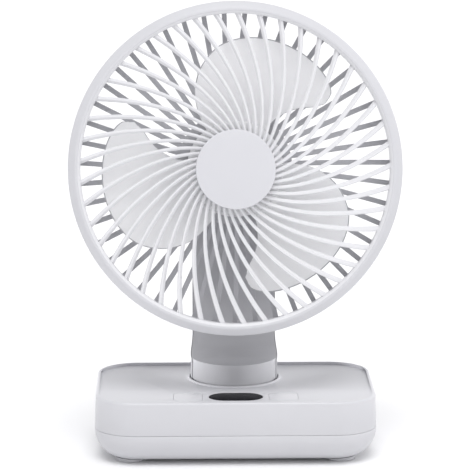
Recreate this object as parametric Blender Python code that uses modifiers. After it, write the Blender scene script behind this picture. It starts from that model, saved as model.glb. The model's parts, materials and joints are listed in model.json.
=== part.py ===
"""Rechargeable desk fan: a caged three-blade head on a scooped neck that swings on a battery base.

Metres, +Z up, the fan blows towards -Y, and the origin lies under the middle of the base.
"""

import math

import bmesh
import bpy
from mathutils import Matrix, Vector

MM = 0.001
FIT = 0.3 * MM  # clearance between pieces that seat on each other

# Base: a rounded box in two shells, with a shallow dished top
BASE_WIDTH = 149 * MM
BASE_DEPTH = 93 * MM
BASE_TOP = 35 * MM
CORNER_RADIUS = 22 * MM
BELLY_RADIUS = 15 * MM
RIM_RADIUS = 1.3 * MM
SHELL_WALL = 2 * MM
SEAM_Z = 17.3 * MM
DRAFT = 0.6 * MM
RIM_WIDTH = 1.9 * MM
DISH_FRONT = 0.4 * MM
DISH_BACK = 1.8 * MM
DECK_WALL = 1.5 * MM
DECK_UNDERSIDE = BASE_TOP - DISH_BACK - DECK_WALL
FOOT_HEIGHT = 1.5 * MM
FOOT_RADIUS = 8 * MM
FOOT_X = 55.5 * MM
FOOT_Y = 27 * MM
FOOT_REACH = 4 * MM  # a foot's wall rises this far round the curved belly
BOSS_RADIUS = 4 * MM
SCREW_RADIUS = 1.3 * MM
SCREW_HOLE = SCREW_RADIUS + FIT
SCREW_HEAD_RADIUS = 2.6 * MM
SCREW_HEAD_HEIGHT = 1.6 * MM
BASE_SCREW_SEAT = 8 * MM
BASE_SCREW_LENGTH = 14 * MM

# Control panel on the deck
PANEL_Y = -30 * MM
KEY_X = 25.1 * MM
KEY_WIDTH = 14.9 * MM
KEY_DEPTH = 16 * MM
KEY_CORNER = 2.6 * MM
KEY_PROUD = 0.35 * MM
KEY_TRAVEL = 0.5 * MM
KEY_LIP = 0.9 * MM
KEY_LIP_HEIGHT = 1.2 * MM
LENS_WIDTH = 28.5 * MM
LENS_DEPTH = 16.5 * MM
LENS_HEIGHT = 2 * MM
LENS_SUNK = 0.15 * MM
BOARD_HEIGHT = 1.6 * MM
CONTROL_BOARD_WIDTH = 76 * MM
CONTROL_BOARD_DEPTH = 22 * MM
SWITCH_SIDE = 6 * MM
SWITCH_BODY = 3.1 * MM
PLUNGER_RADIUS = 1.7 * MM
PLUNGER_HEIGHT = 0.6 * MM
DISPLAY_WIDTH = 22 * MM
DISPLAY_DEPTH = 11 * MM

# Power: two round cells in a cradle, a main board and its charging socket
CELL_RADIUS = 9.2 * MM
CELL_LENGTH = 65 * MM
CELL_X = -3 * MM
CELL_Y = (-32 * MM, -12.8 * MM)
CELL_Z = 13.3 * MM
CRADLE_WALL = 2 * MM
CRADLE_HEIGHT = 14 * MM
MAIN_BOARD_X = (-40 * MM, 21 * MM)
MAIN_BOARD_Y = (17 * MM, 39.4 * MM)
MAIN_BOARD_Z = 6.8 * MM
POST_RADIUS = 2 * MM
SOCKET_WIDTH = 8.9 * MM
SOCKET_HEIGHT = 3.2 * MM
SOCKET_MOUTH_Y = 44 * MM
SOCKET_LENGTH = 7.4 * MM

# Neck: a tube whose upper front is scooped away, so that it becomes a half-round arm
NECK_Y = 14 * MM
NECK_RADIUS = 23 * MM
NECK_WALL = 2 * MM
NECK_FOOT_Z = BASE_TOP - 2.1 * MM
COLLAR_CLEAR = 0.6 * MM
COLLAR_WIDTH = 3 * MM
COLLAR_TOP = BASE_TOP - 0.2 * MM
LEDGE_Z = BASE_TOP + 11 * MM
SCOOP_BACK = 7 * MM  # the arm's flat front lies this far behind the tube's axis
SCOOP_FILLET = 12 * MM
SEAM_FORWARD = 3 * MM  # the cover's side seam lies this far in front of the axis
SHOULDER_HEIGHT = 24 * MM
EAR_OUTER = 16.5 * MM
SLOT_CLEAR = 1.9 * MM
HINGE_BLOCK = 6 * MM

# Tilt hinge
EAR_RADIUS = 7 * MM
HINGE_Y = NECK_Y + SCOOP_BACK + EAR_RADIUS  # the ears lie flush with the arm's flat front
HINGE_Z = BASE_TOP + 112.65 * MM
SHOULDER_Z = HINGE_Z - SHOULDER_HEIGHT - 11.65 * MM
HEAD_TILT = math.radians(8)  # the head looks up by this much at rest
PIN_RADIUS = 2.5 * MM
PIN_BORE = PIN_RADIUS + FIT
CAP_RADIUS = 5 * MM
CAP_HEIGHT = 1.2 * MM
PIN_HALF = EAR_OUTER - CAP_HEIGHT - FIT
BARREL_RADIUS = EAR_RADIUS - 0.4 * MM
BARREL_HALF = 9.6 * MM
WASHER_HEIGHT = 1.2 * MM
WASHER_RADIUS = BARREL_RADIUS - 0.6 * MM
SLOT_HALF = BARREL_HALF + WASHER_HEIGHT + 2 * FIT
SLOT_DEPTH = BARREL_RADIUS + SLOT_CLEAR

# Swivel: turntable on a thrust ring in the deck's cup, turned by a geared motor
CUP_FLOOR_TOP = BASE_TOP - 6.4 * MM
CUP_FLOOR_HEIGHT = 2 * MM
THRUST_HEIGHT = 1.2 * MM
PLUG_HEIGHT = 6 * MM
SPIGOT_RADIUS = 13 * MM
SPIGOT_BORE = 8 * MM
GEAR_SEAT_RADIUS = 10 * MM
GEAR_HEIGHT = 3 * MM
GEAR_MODULE = 1 * MM
SECTOR_TEETH = 48  # as a full wheel
SECTOR_CUT_TEETH = 17
PINION_TEETH = 12
GEAR_PRESSURE = math.radians(25)
GEAR_BACKLASH = 0.3 * MM
CLIP_HEIGHT = 1.2 * MM
SWIVEL_CAN_RADIUS = 14 * MM
SWIVEL_CAN_HEIGHT = 17 * MM
SWIVEL_SHAFT_OFFSET = 8 * MM
SWIVEL_SHAFT_RADIUS = 2.2 * MM
SWIVEL_EAR_REACH = 17.5 * MM
SWIVEL_EAR_RADIUS = 3.5 * MM
SWIVEL_EAR_HEIGHT = 0.8 * MM

# Head, in its own frame: Z runs forward along the fan's axis from the cage's split
RING_FORWARD = 42 * MM  # from the hinge axis to the split
CAGE_RADIUS = 87.5 * MM
RING_WIDTH = 6.5 * MM
CAGE_OPENING = CAGE_RADIUS - RING_WIDTH
FRONT_RING_HEIGHT = 10 * MM
REAR_RING_HEIGHT = 12 * MM
RING_WALL = 2 * MM
FRONT_SPOKES = 45
REAR_SPOKES = 47
SPOKE_LEAN = 0.465  # tangent of a front spoke's angle to the radius
REAR_SPOKE_LEAN = -0.04
SPOKE_PHASE = math.radians(2.4)
FRONT_HUB_RADIUS = 20.6 * MM
FRONT_HUB_Z = 12.6 * MM
FRONT_HUB_HEIGHT = 2.6 * MM
FRONT_CAP_RADIUS = 21 * MM
FRONT_CAP_HEIGHT = 2.5 * MM
SPOKE_WIDTH = 1.6 * MM
SPOKE_HEIGHT = 2.2 * MM
SPOKE_GROWTH = 1.7  # a spoke is this much larger at the rim than at the hub
REAR_HUB_RADIUS = 30.5 * MM
REAR_HUB_Z = -11 * MM
REAR_HUB_HEIGHT = 2.5 * MM
REAR_SPOKE_WIDTH = 2.4 * MM
REAR_SPOKE_HEIGHT = 2 * MM
POD_RADIUS = 30 * MM
POD_BACK = -28 * MM
POD_WALL = 2 * MM
POD_SCREW_CIRCLE = POD_RADIUS - 10 * MM
KNUCKLE_RADIUS = 12 * MM
KNUCKLE_HEIGHT = 2.2 * MM
ARM_HALF_WIDTH = 8 * MM
ARM_HALF_HEIGHT = 5.5 * MM
KNUCKLE_SCREW_Y = 3 * MM
KNUCKLE_SCREW_RADIUS = 1 * MM

# Rotor
BLADES = 3
HUB_RADIUS = 25.2 * MM
HUB_FRONT = 9 * MM
HUB_BACK = -8.5 * MM
HUB_BORE = HUB_RADIUS - 2.4 * MM
HUB_FACE = 3.6 * MM
BLADE_REACH = CAGE_OPENING - 10.8 * MM
BLADE_THICKNESS = 1.4 * MM
BLADE_RISE = 13 * MM  # axial travel from the leading tip to the trailing root
BLADE_BACK = -7 * MM
SHAFT_RADIUS = 1.4 * MM
BELL_RADIUS = HUB_BORE - 0.4 * MM
BELL_WALL = 1.2 * MM
MAGNET_WALL = 2.4 * MM
STATOR_RADIUS = BELL_RADIUS - BELL_WALL - MAGNET_WALL - 1.2 * MM
STATOR_HEIGHT = 8 * MM
STATOR_POLES = 9
TUBE_RADIUS = 5 * MM
BEARING_RADIUS = 3.6 * MM

# Blade edge as (degrees round the hub, radius in mm when the reach is as drawn): tip side, root side
BLADE_DRAWN_REACH = 70.2 * MM
BLADE_TIP_EDGE = ((37, 58.5), (38.6, 63.4), (41.9, 66), (47, 68), (57, 69.7), (67, 70.2), (77, 69.9),
                  (87, 68.4), (95, 66), (101, 62.6), (107, 57.4), (113, 51.2), (118.5, 43.5),
                  (123, 37.5), (126, 31.6), (128, 24.2))
BLADE_ROOT_EDGE = ((37, 57.5), (38.8, 52.8), (42.7, 47.5), (46.5, 42.2), (49, 36.5), (50.9, 31.6),
                   (52, 24.2))


# ---------------------------------------------------------------- modelling helpers

def collection(name):
    made = bpy.data.collections.new(name)
    bpy.context.scene.collection.children.link(made)
    return made


def material(name, colour, roughness, metallic=0.0):
    made = bpy.data.materials.new(name)
    made.use_nodes = True
    shader = made.node_tree.nodes["Principled BSDF"]
    shader.inputs["Base Color"].default_value = (*colour, 1)
    shader.inputs["Roughness"].default_value = roughness
    shader.inputs["Metallic"].default_value = metallic
    return made


def object_of(name, data):
    made = bpy.data.objects.new(name, data)
    FAN.objects.link(made)
    return made


def object_of_bmesh(name, bm):
    """A new object from a bmesh, with its faces turned outwards."""
    if bm.calc_volume(signed=True) < 0:
        bmesh.ops.reverse_faces(bm, faces=bm.faces[:])
    mesh = bpy.data.meshes.new(name)
    bm.to_mesh(mesh)
    bm.free()
    return object_of(name, mesh)


def realise(obj):
    """Turns an object with modifiers, or a curve, into a plain mesh object of the same name."""
    bpy.context.view_layer.update()
    graph = bpy.context.evaluated_depsgraph_get()
    mesh = bpy.data.meshes.new_from_object(obj.evaluated_get(graph))
    name, matrix = obj.name, obj.matrix_world.copy()
    bpy.data.objects.remove(obj)
    bm = bmesh.new()
    bm.from_mesh(mesh)
    bmesh.ops.remove_doubles(bm, verts=bm.verts[:], dist=0.001 * MM)
    bmesh.ops.transform(bm, matrix=matrix, verts=bm.verts[:])
    bpy.data.meshes.remove(mesh)
    return object_of_bmesh(name, bm)


def combine(target, operation, *tools):
    """Applies a Boolean with each tool in turn and removes the tools."""
    for tool in tools:
        modifier = target.modifiers.new("combine", "BOOLEAN")
        modifier.operation = operation
        modifier.object = tool
        target = realise(target)
        bpy.data.objects.remove(tool)
    return target


def cut(target, *tools):
    return combine(target, "DIFFERENCE", *tools)


def join(target, *tools):
    return combine(target, "UNION", *tools)


def keep(target, *tools):
    return combine(target, "INTERSECT", *tools)


def turn(obj, angle):
    obj.data.transform(Matrix.Rotation(angle, 4, "Z"))
    return obj


def copy_of(obj, name):
    return object_of(name, obj.data.copy())


def moved(obj, x=0.0, y=0.0, z=0.0):
    obj.data.transform(Matrix.Translation((x, y, z)))
    return obj


def box(name, low, high):
    low, high = Vector(low), Vector(high)
    bm = bmesh.new()
    bmesh.ops.create_cube(bm, size=1)
    bmesh.ops.scale(bm, vec=high - low, verts=bm.verts[:])
    bmesh.ops.translate(bm, vec=(high + low) / 2, verts=bm.verts[:])
    return object_of_bmesh(name, bm)


def cylinder(name, radius, low, high, centre=(0.0, 0.0), axis="Z", steps=32):
    """A round bar from low to high along an axis, through centre on the other two axes."""
    bm = bmesh.new()
    bmesh.ops.create_cone(bm, cap_ends=True, segments=steps, radius1=radius, radius2=radius,
                          depth=high - low)
    middle = (high + low) / 2
    if axis == "X":
        bmesh.ops.rotate(bm, matrix=Matrix.Rotation(math.pi / 2, 3, "Y"), verts=bm.verts[:])
        place = (middle, centre[0], centre[1])
    elif axis == "Y":
        bmesh.ops.rotate(bm, matrix=Matrix.Rotation(math.pi / 2, 3, "X"), verts=bm.verts[:])
        place = (centre[0], middle, centre[1])
    else:
        place = (centre[0], centre[1], middle)
    bmesh.ops.translate(bm, vec=place, verts=bm.verts[:])
    return object_of_bmesh(name, bm)


def turned(name, profile, closed, steps=32):
    """A profile of (radius, height) points turned about Z; a closed one makes a ring."""
    mesh = bpy.data.meshes.new(name)
    edges = [(i, i + 1) for i in range(len(profile) - 1)]
    if closed:
        edges.append((len(profile) - 1, 0))
    mesh.from_pydata([(radius, 0, height) for radius, height in profile], edges, [])
    made = object_of(name, mesh)
    screw = made.modifiers.new("turn", "SCREW")
    screw.steps = screw.render_steps = steps
    screw.use_merge_vertices = True
    screw.merge_threshold = 0.001 * MM
    return realise(made)


def ring(name, outer, inner, low, high, steps=32):
    return turned(name, [(inner, high), (outer, high), (outer, low), (inner, low)], True, steps)


def disc(name, radius, low, high, edge=0.0, steps=32):
    """A round plate, with its front edge chamfered if edge is given."""
    profile = [(0, high), (radius - edge, high), (radius, high - edge), (radius, low), (0, low)]
    if not edge:
        del profile[2]
    return turned(name, profile, False, steps)


def arc(centre_x, centre_y, radius, start, end, steps):
    """Points on an arc, with angles in degrees."""
    angles = [math.radians(start + (end - start) * k / steps) for k in range(steps + 1)]
    return [(centre_x + radius * math.cos(a), centre_y + radius * math.sin(a)) for a in angles]


def slab(name, outlines, low, high):
    """Closed flat outlines in X and Y, filled and extruded from low to high; inner ones are holes."""
    curve = bpy.data.curves.new(name, "CURVE")
    curve.dimensions = "2D"
    curve.fill_mode = "BOTH"
    curve.extrude = (high - low) / 2
    for outline in outlines:
        spline = curve.splines.new("POLY")
        spline.points.add(len(outline) - 1)
        for point, (x, y) in zip(spline.points, outline):
            point.co = (x, y, 0, 1)
        spline.use_cyclic_u = True
    made = object_of(name, curve)
    made.location.z = (high + low) / 2
    return realise(made)


def side_slab(name, outline, half_width):
    """A flat outline of (y, z) points, extruded both ways along X."""
    made = slab(name, [outline], -half_width, half_width)
    made.data.transform(Matrix(((0, 0, 1, 0), (1, 0, 0, 0), (0, 1, 0, 0), (0, 0, 0, 1))))
    return made


def front_slab(name, outline, low_y, high_y):
    """A flat outline of (x, z) points, extruded along Y."""
    made = slab(name, [outline], -high_y, -low_y)
    made.data.transform(Matrix.Rotation(math.pi / 2, 4, "X"))
    return made


def rounded_rectangle(width, depth, radius, centre=(0.0, 0.0), steps=5):
    x, y = width / 2 - radius, depth / 2 - radius
    points = []
    for corner, (sx, sy) in enumerate(((1, 1), (-1, 1), (-1, -1), (1, -1))):
        points += arc(centre[0] + sx * x, centre[1] + sy * y, radius, 90 * corner,
                      90 * corner + 90, steps)
    return points


def belly_box(name, inset, low, high, top_edge=0.0):
    """The base's rounded box, drawn in by inset: upright corners, round belly, draft to the top."""
    bm = bmesh.new()
    bmesh.ops.create_cube(bm, size=1)
    size = Vector((BASE_WIDTH - 2 * inset, BASE_DEPTH - 2 * inset, high - low))
    bmesh.ops.scale(bm, vec=size, verts=bm.verts[:])
    bmesh.ops.translate(bm, vec=(0, 0, (high + low) / 2), verts=bm.verts[:])
    upright = [e for e in bm.edges if abs(e.verts[0].co.z - e.verts[1].co.z) > size.z / 2]
    bmesh.ops.bevel(bm, geom=upright, offset=CORNER_RADIUS - inset, segments=6,
                    affect="EDGES", profile=0.5)
    bottom = [e for e in bm.edges if all(v.co.z < low + FIT for v in e.verts)]
    bmesh.ops.bevel(bm, geom=bottom, offset=BELLY_RADIUS - inset, segments=4,
                    affect="EDGES", profile=0.5)
    if top_edge:
        top = [e for e in bm.edges if all(v.co.z > high - FIT for v in e.verts)]
        bmesh.ops.bevel(bm, geom=top, offset=top_edge, segments=1, affect="EDGES", profile=0.5)
    for vertex in bm.verts:
        rise = max(0.0, (vertex.co.z - SEAM_Z) / (BASE_TOP - SEAM_Z))
        vertex.co.x *= 1 - 2 * DRAFT * rise / BASE_WIDTH
        vertex.co.y *= 1 - 2 * DRAFT * rise / BASE_DEPTH
    return object_of_bmesh(name, bm)


def around(obj, count, first=0.0):
    """Copies an object's mesh round Z, as one object of separate bodies."""
    bm = bmesh.new()
    for k in range(count):
        mesh = obj.data.copy()
        mesh.transform(Matrix.Rotation(first + 2 * math.pi * k / count, 4, "Z"))
        bm.from_mesh(mesh)
        bpy.data.meshes.remove(mesh)
    name = obj.name
    bpy.data.objects.remove(obj)
    return object_of_bmesh(name, bm)


def finish(obj, name, surface, parent=None):
    """Names a finished part, gives it its material and shading, and hangs it on its axis.

    A part is drawn where it stands, except that the head's parts are drawn in the head's own frame.
    """
    if parent and parent.name != "head_frame":
        obj.data.transform(parent.matrix_world.inverted())
    obj.name = name
    obj.data.name = name
    obj.data.materials.clear()
    obj.data.materials.append(surface)
    obj.data.shade_smooth()
    obj.data.set_sharp_from_angle(angle=math.radians(32))
    obj.parent = parent
    return obj


def axis(name, place, parent=None):
    """An empty at a place in the world."""
    made = object_of(name, None)
    made.location = place
    if parent:
        made.parent = parent
        bpy.context.view_layer.update()
        made.matrix_parent_inverse = parent.matrix_world.inverted()
    return made


def screw(name, tip, head_low, radius, surface, place=(0.0, 0.0), head_up=True, parent=None):
    """A pan-head screw along Z: the shank runs from the head's seat to its tip."""
    head = SCREW_HEAD_HEIGHT
    wide = SCREW_HEAD_RADIUS * radius / SCREW_RADIUS
    if head_up:
        profile = [(0, head_low + head), (wide * 0.8, head_low + head), (wide, head_low),
                   (radius, head_low), (radius, tip + radius), (0, tip)]
    else:
        profile = [(0, tip), (radius, tip - radius), (radius, head_low), (wide, head_low),
                   (wide * 0.8, head_low - head), (0, head_low - head)]
    made = moved(turned(name, profile, False, 10), *place)
    return finish(made, name, surface, parent)


# ---------------------------------------------------------------- base

def deck_height(y):
    """Height of the dished deck at a depth: it falls slightly from the front rim to the back."""
    inner = BASE_DEPTH / 2 - RIM_WIDTH
    share = (y + inner) / (2 * inner)
    return BASE_TOP - DISH_FRONT - (DISH_BACK - DISH_FRONT) * share


def dish_cutter():
    """Everything above the sloping deck, inside the rim."""
    outline = rounded_rectangle(BASE_WIDTH - 2 * RIM_WIDTH - 2 * DRAFT,
                                BASE_DEPTH - 2 * RIM_WIDTH - 2 * DRAFT,
                                CORNER_RADIUS - RIM_WIDTH, steps=6)
    made = slab("dish", [outline], DECK_UNDERSIDE, BASE_TOP + FOOT_HEIGHT)
    for vertex in made.data.vertices:
        if vertex.co.z < BASE_TOP:
            vertex.co.z = deck_height(vertex.co.y)
    return made


def foot_places():
    return [(end + "_" + side, x * FOOT_X, y * FOOT_Y)
            for end, y in (("front", -1), ("rear", 1))
            for side, x in (("left", -1), ("right", 1))]


def key_outline(grow):
    return rounded_rectangle(KEY_WIDTH + 2 * grow, KEY_DEPTH + 2 * grow, KEY_CORNER + grow, steps=3)


def lens_outline(grow):
    return rounded_rectangle(LENS_WIDTH + 2 * grow, LENS_DEPTH + 2 * grow,
                             LENS_DEPTH / 2 + grow - 0.01 * MM, steps=6)


def control_posts():
    return [(sx * (CONTROL_BOARD_WIDTH / 2 - POST_RADIUS - MM),
             PANEL_Y + sy * (CONTROL_BOARD_DEPTH / 2 - POST_RADIUS)) for sx in (-1, 1) for sy in (-1, 1)]


def control_board_top():
    """The switches stand on the board and end just under the keys' lips."""
    lip_bottom = DECK_UNDERSIDE - FIT - KEY_LIP_HEIGHT
    return lip_bottom - KEY_TRAVEL - 0.1 * MM - PLUNGER_HEIGHT - SWITCH_BODY - FIT


def main_board_posts():
    return [(x, y) for x in (MAIN_BOARD_X[0] + 2 * POST_RADIUS, MAIN_BOARD_X[1] - 2 * POST_RADIUS)
            for y in (MAIN_BOARD_Y[0] + 2 * POST_RADIUS, MAIN_BOARD_Y[1] - 2 * POST_RADIUS)]


def socket_z():
    return MAIN_BOARD_Z + BOARD_HEIGHT + FIT + SOCKET_HEIGHT / 2


def swivel_shaft_place():
    """The pinion meshes with the sector on the neck's right."""
    return (GEAR_MODULE * (SECTOR_TEETH + PINION_TEETH) / 2, NECK_Y)


def swivel_can_place():
    x, y = swivel_shaft_place()
    return (x + SWIVEL_SHAFT_OFFSET, y)


def build_base_shells(white):
    solid = belly_box("shell", 0, FOOT_HEIGHT, BASE_TOP, RIM_RADIUS)
    solid = cut(solid, dish_cutter())
    solid = cut(solid, belly_box("hollow", SHELL_WALL, FOOT_HEIGHT + SHELL_WALL, DECK_UNDERSIDE))
    wide, gap = BASE_WIDTH, FIT / 2
    lower = keep(copy_of(solid, "lower"), box("below", (-wide, -wide, -wide), (wide, wide, SEAM_Z - gap)))
    upper = keep(solid, box("above", (-wide, -wide, SEAM_Z + gap), (wide, wide, wide)))

    # The deck's cup: a raised collar round the neck, and under it the seat of the thrust ring
    inner = NECK_RADIUS + COLLAR_CLEAR
    outer = inner + COLLAR_WIDTH
    cup_bottom = CUP_FLOOR_TOP - CUP_FLOOR_HEIGHT
    collar = turned("collar", [
        (inner, COLLAR_TOP), (inner + 1.6 * MM, COLLAR_TOP), (outer, COLLAR_TOP - 1.2 * MM),
        (outer, cup_bottom), (SPIGOT_RADIUS + FIT, cup_bottom), (SPIGOT_RADIUS + FIT, CUP_FLOOR_TOP),
        (inner, CUP_FLOOR_TOP)], True, 40)
    upper = cut(upper, cylinder("hole", outer - MM, 0, BASE_TOP * 2, (0, NECK_Y), steps=40))
    upper = join(upper, moved(collar, y=NECK_Y))

    for side in (-1, 1):
        hole = moved(slab("key_hole", [key_outline(FIT)], DECK_UNDERSIDE - MM, BASE_TOP * 2),
                     side * KEY_X, PANEL_Y)
        upper = cut(upper, hole)
    upper = cut(upper, moved(slab("lens_hole", [lens_outline(FIT / 2)], DECK_UNDERSIDE - MM,
                                  BASE_TOP * 2), 0, PANEL_Y))
    board_top = control_board_top()
    for x, y in control_posts():
        upper = join(upper, cylinder("post", POST_RADIUS, board_top + FIT, DECK_UNDERSIDE + MM / 2,
                                     (x, y), steps=10))
    for _, x, y in foot_places():
        upper = join(upper, cylinder("boss", BOSS_RADIUS, SEAM_Z + gap, DECK_UNDERSIDE + MM / 2, (x, y),
                                     steps=14))
        upper = cut(upper, cylinder("pilot", SCREW_HOLE, 0,
                                    BASE_SCREW_SEAT + BASE_SCREW_LENGTH + MM, (x, y), steps=10))
        lower = join(lower, cylinder("boss", BOSS_RADIUS, FOOT_HEIGHT + MM, SEAM_Z - gap, (x, y),
                                     steps=14))
        lower = cut(lower, cylinder("hole", SCREW_HOLE, 0, SEAM_Z * 2, (x, y), steps=10))
        lower = cut(lower, cylinder("counterbore", SCREW_HEAD_RADIUS + FIT, 0, BASE_SCREW_SEAT,
                                    (x, y), steps=12))
    for x, y in main_board_posts():
        lower = join(lower, cylinder("post", POST_RADIUS, FOOT_HEIGHT + MM, MAIN_BOARD_Z - FIT,
                                     (x, y), steps=10))
    can_x, can_y = swivel_can_place()
    ear_bottom = FOOT_HEIGHT + SHELL_WALL + FIT + SWIVEL_CAN_HEIGHT - SWIVEL_EAR_HEIGHT
    for side in (-1, 1):
        place = (can_x, can_y + side * SWIVEL_EAR_REACH)
        lower = join(lower, cylinder("boss", SWIVEL_EAR_RADIUS - FIT, FOOT_HEIGHT + MM,
                                     ear_bottom - FIT, place, steps=14))
        lower = cut(lower, cylinder("pilot", SCREW_HOLE, ear_bottom - 9 * MM, ear_bottom, place,
                                    steps=8))
    slot = rounded_rectangle(SOCKET_WIDTH + 2 * FIT, SOCKET_HEIGHT + 2 * FIT, SOCKET_HEIGHT / 2)
    slot = [(x, z + socket_z()) for x, z in slot]
    lower = cut(lower, front_slab("socket_hole", slot, SOCKET_MOUTH_Y - SOCKET_LENGTH / 2, BASE_DEPTH))
    finish(upper, "base_upper_shell", white)
    finish(lower, "base_lower_shell", white)


def build_feet_and_base_screws(silicone, steel):
    grown = belly_box("grown", -FIT, FOOT_HEIGHT - FIT, BASE_TOP)
    for place, x, y in foot_places():
        foot = disc("foot", FOOT_RADIUS, 0, FOOT_REACH, steps=20)
        foot.data.transform(Matrix.Rotation(math.pi, 4, "X"))
        foot = moved(foot, x, y, FOOT_REACH)
        foot = cut(foot, copy_of(grown, "belly"))
        finish(foot, "foot_" + place, silicone)
        screw("base_screw_" + place, BASE_SCREW_SEAT + BASE_SCREW_LENGTH, BASE_SCREW_SEAT - FIT,
              SCREW_RADIUS, steel, (x, y), head_up=False)
    bpy.data.objects.remove(grown)


def build_control_panel(white, black, board_green, dark_part):
    top = control_board_top()
    lip_top = DECK_UNDERSIDE - FIT
    for name, side in (("key_power", -1), ("key_swing", 1)):
        cap = slab(name, [key_outline(0)], lip_top - KEY_LIP_HEIGHT / 2, deck_height(PANEL_Y) + KEY_PROUD)
        bm = bmesh.new()
        bm.from_mesh(cap.data)
        high = max(v.co.z for v in bm.verts)
        rim = [e for e in bm.edges if len(e.link_faces) == 2 and all(v.co.z > high - FIT for v in e.verts)
               and abs(e.link_faces[0].normal.z - e.link_faces[1].normal.z) > 0.5]
        bmesh.ops.bevel(bm, geom=rim, offset=0.4 * MM, segments=2, affect="EDGES", profile=0.5)
        bpy.data.objects.remove(cap)
        cap = object_of_bmesh(name, bm)
        cap = join(cap, slab("lip", [key_outline(KEY_LIP)], lip_top - KEY_LIP_HEIGHT, lip_top))
        finish(moved(cap, side * KEY_X, PANEL_Y), name, white)
        switch = box("switch", (-SWITCH_SIDE / 2, -SWITCH_SIDE / 2, top + FIT),
                     (SWITCH_SIDE / 2, SWITCH_SIDE / 2, top + FIT + SWITCH_BODY))
        switch = join(switch, cylinder("plunger", PLUNGER_RADIUS, top + SWITCH_BODY,
                                       top + FIT + SWITCH_BODY + PLUNGER_HEIGHT, steps=16))
        finish(moved(switch, side * KEY_X, PANEL_Y), name.replace("key", "switch"), dark_part)

    lens_top = deck_height(PANEL_Y) - LENS_SUNK
    lens = slab("lens", [lens_outline(0)], lens_top - LENS_HEIGHT, lens_top)
    finish(moved(lens, 0, PANEL_Y), "display_lens", black)
    module = box("module", (-DISPLAY_WIDTH / 2, -DISPLAY_DEPTH / 2, top + FIT),
                 (DISPLAY_WIDTH / 2, DISPLAY_DEPTH / 2, lens_top - LENS_HEIGHT - FIT))
    finish(moved(module, 0, PANEL_Y), "display_module", dark_part)
    board = slab("board", [rounded_rectangle(CONTROL_BOARD_WIDTH, CONTROL_BOARD_DEPTH, 2 * MM)],
                 top - BOARD_HEIGHT, top)
    finish(moved(board, 0, PANEL_Y), "control_board", board_green)


def build_power(cell_wrap, frame_grey, board_green, steel):
    for name, y in zip(("battery_cell_front", "battery_cell_rear"), CELL_Y):
        half = CELL_LENGTH / 2
        cell = cylinder(name, CELL_RADIUS, CELL_X - half + MM, CELL_X + half - MM, (y, CELL_Z), "X", 24)
        tip = cylinder("tip", CELL_RADIUS * 0.35, CELL_X - half, CELL_X + half, (y, CELL_Z), "X", 12)
        finish(join(cell, tip), name, cell_wrap)

    floor = FOOT_HEIGHT + SHELL_WALL + FIT
    inner = CELL_LENGTH / 2 + FIT
    front, back = CELL_Y[0] - CELL_RADIUS, CELL_Y[1] + CELL_RADIUS
    wall = [(front + 11 * MM, floor), (back, floor), (back, floor + CRADLE_HEIGHT),
            (front, floor + CRADLE_HEIGHT), (front, floor + 8 * MM)]
    middle = sum(CELL_Y) / 2
    cradle = box("spine", (-inner - CRADLE_WALL / 2, middle - 1.4 * MM, floor),
                 (inner + CRADLE_WALL / 2, middle + 1.4 * MM, floor + 2.4 * MM))
    for side in (-1, 1):
        end = side_slab("end", wall, CRADLE_WALL / 2)
        cradle = join(cradle, moved(end, side * (inner + CRADLE_WALL / 2)))
    finish(moved(cradle, CELL_X), "battery_cradle", frame_grey)

    width, depth = MAIN_BOARD_X[1] - MAIN_BOARD_X[0], MAIN_BOARD_Y[1] - MAIN_BOARD_Y[0]
    board = slab("board", [rounded_rectangle(width, depth, 1.5 * MM, steps=3)], MAIN_BOARD_Z,
                 MAIN_BOARD_Z + BOARD_HEIGHT)
    finish(moved(board, sum(MAIN_BOARD_X) / 2, sum(MAIN_BOARD_Y) / 2), "main_board", board_green)

    outer = rounded_rectangle(SOCKET_WIDTH, SOCKET_HEIGHT, SOCKET_HEIGHT / 2 - 0.01 * MM)
    outer = [(x, z + socket_z()) for x, z in outer]
    socket = front_slab("socket", outer, SOCKET_MOUTH_Y - SOCKET_LENGTH, SOCKET_MOUTH_Y)
    mouth = rounded_rectangle(SOCKET_WIDTH - 0.7 * MM, SOCKET_HEIGHT - 0.7 * MM,
                              SOCKET_HEIGHT / 2 - 0.36 * MM)
    mouth = [(x, z + socket_z()) for x, z in mouth]
    socket = cut(socket, front_slab("mouth", mouth, SOCKET_MOUTH_Y - 6 * MM, BASE_DEPTH))
    tongue = box("tongue", (-3.3 * MM, SOCKET_MOUTH_Y - 6.5 * MM, socket_z() - 0.35 * MM),
                 (3.3 * MM, SOCKET_MOUTH_Y - MM, socket_z() + 0.35 * MM))
    finish(join(socket, tongue), "charging_socket", steel)


def involute(base_radius, radius):
    """Polar angle of an involute where it reaches a radius."""
    ratio = max(1.0, radius / base_radius)
    angle = math.acos(1 / ratio)
    return math.tan(angle) - angle


def gear_outline(teeth, cut_teeth, first, rest_radius):
    """Outline of a gear whose first teeth are cut, centred on angle first; the rest is plain."""
    pitch = GEAR_MODULE * teeth / 2
    base = pitch * math.cos(GEAR_PRESSURE)
    root, tip = pitch - 1.1 * GEAR_MODULE, pitch + 0.8 * GEAR_MODULE
    half = math.pi / (2 * teeth) - GEAR_BACKLASH / 2 / pitch / 2
    step = 2 * math.pi / teeth
    radii = [root] + [base] * (base > root) + [pitch, tip]
    points = []
    for tooth in range(cut_teeth):
        middle = first + step * (tooth - (cut_teeth - 1) / 2)
        flank = [(radius, half + involute(base, pitch) - involute(base, radius)) for radius in radii]
        points += [(radius, middle - width) for radius, width in flank]
        points += [(radius, middle + width) for radius, width in reversed(flank)]
    if cut_teeth < teeth:
        start = first + step * cut_teeth / 2
        span = 2 * math.pi - step * cut_teeth
        points += [(rest_radius, start + span * (0.04 + 0.92 * k / 12)) for k in range(13)]
    return [(radius * math.cos(angle), radius * math.sin(angle)) for radius, angle in points]


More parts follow.
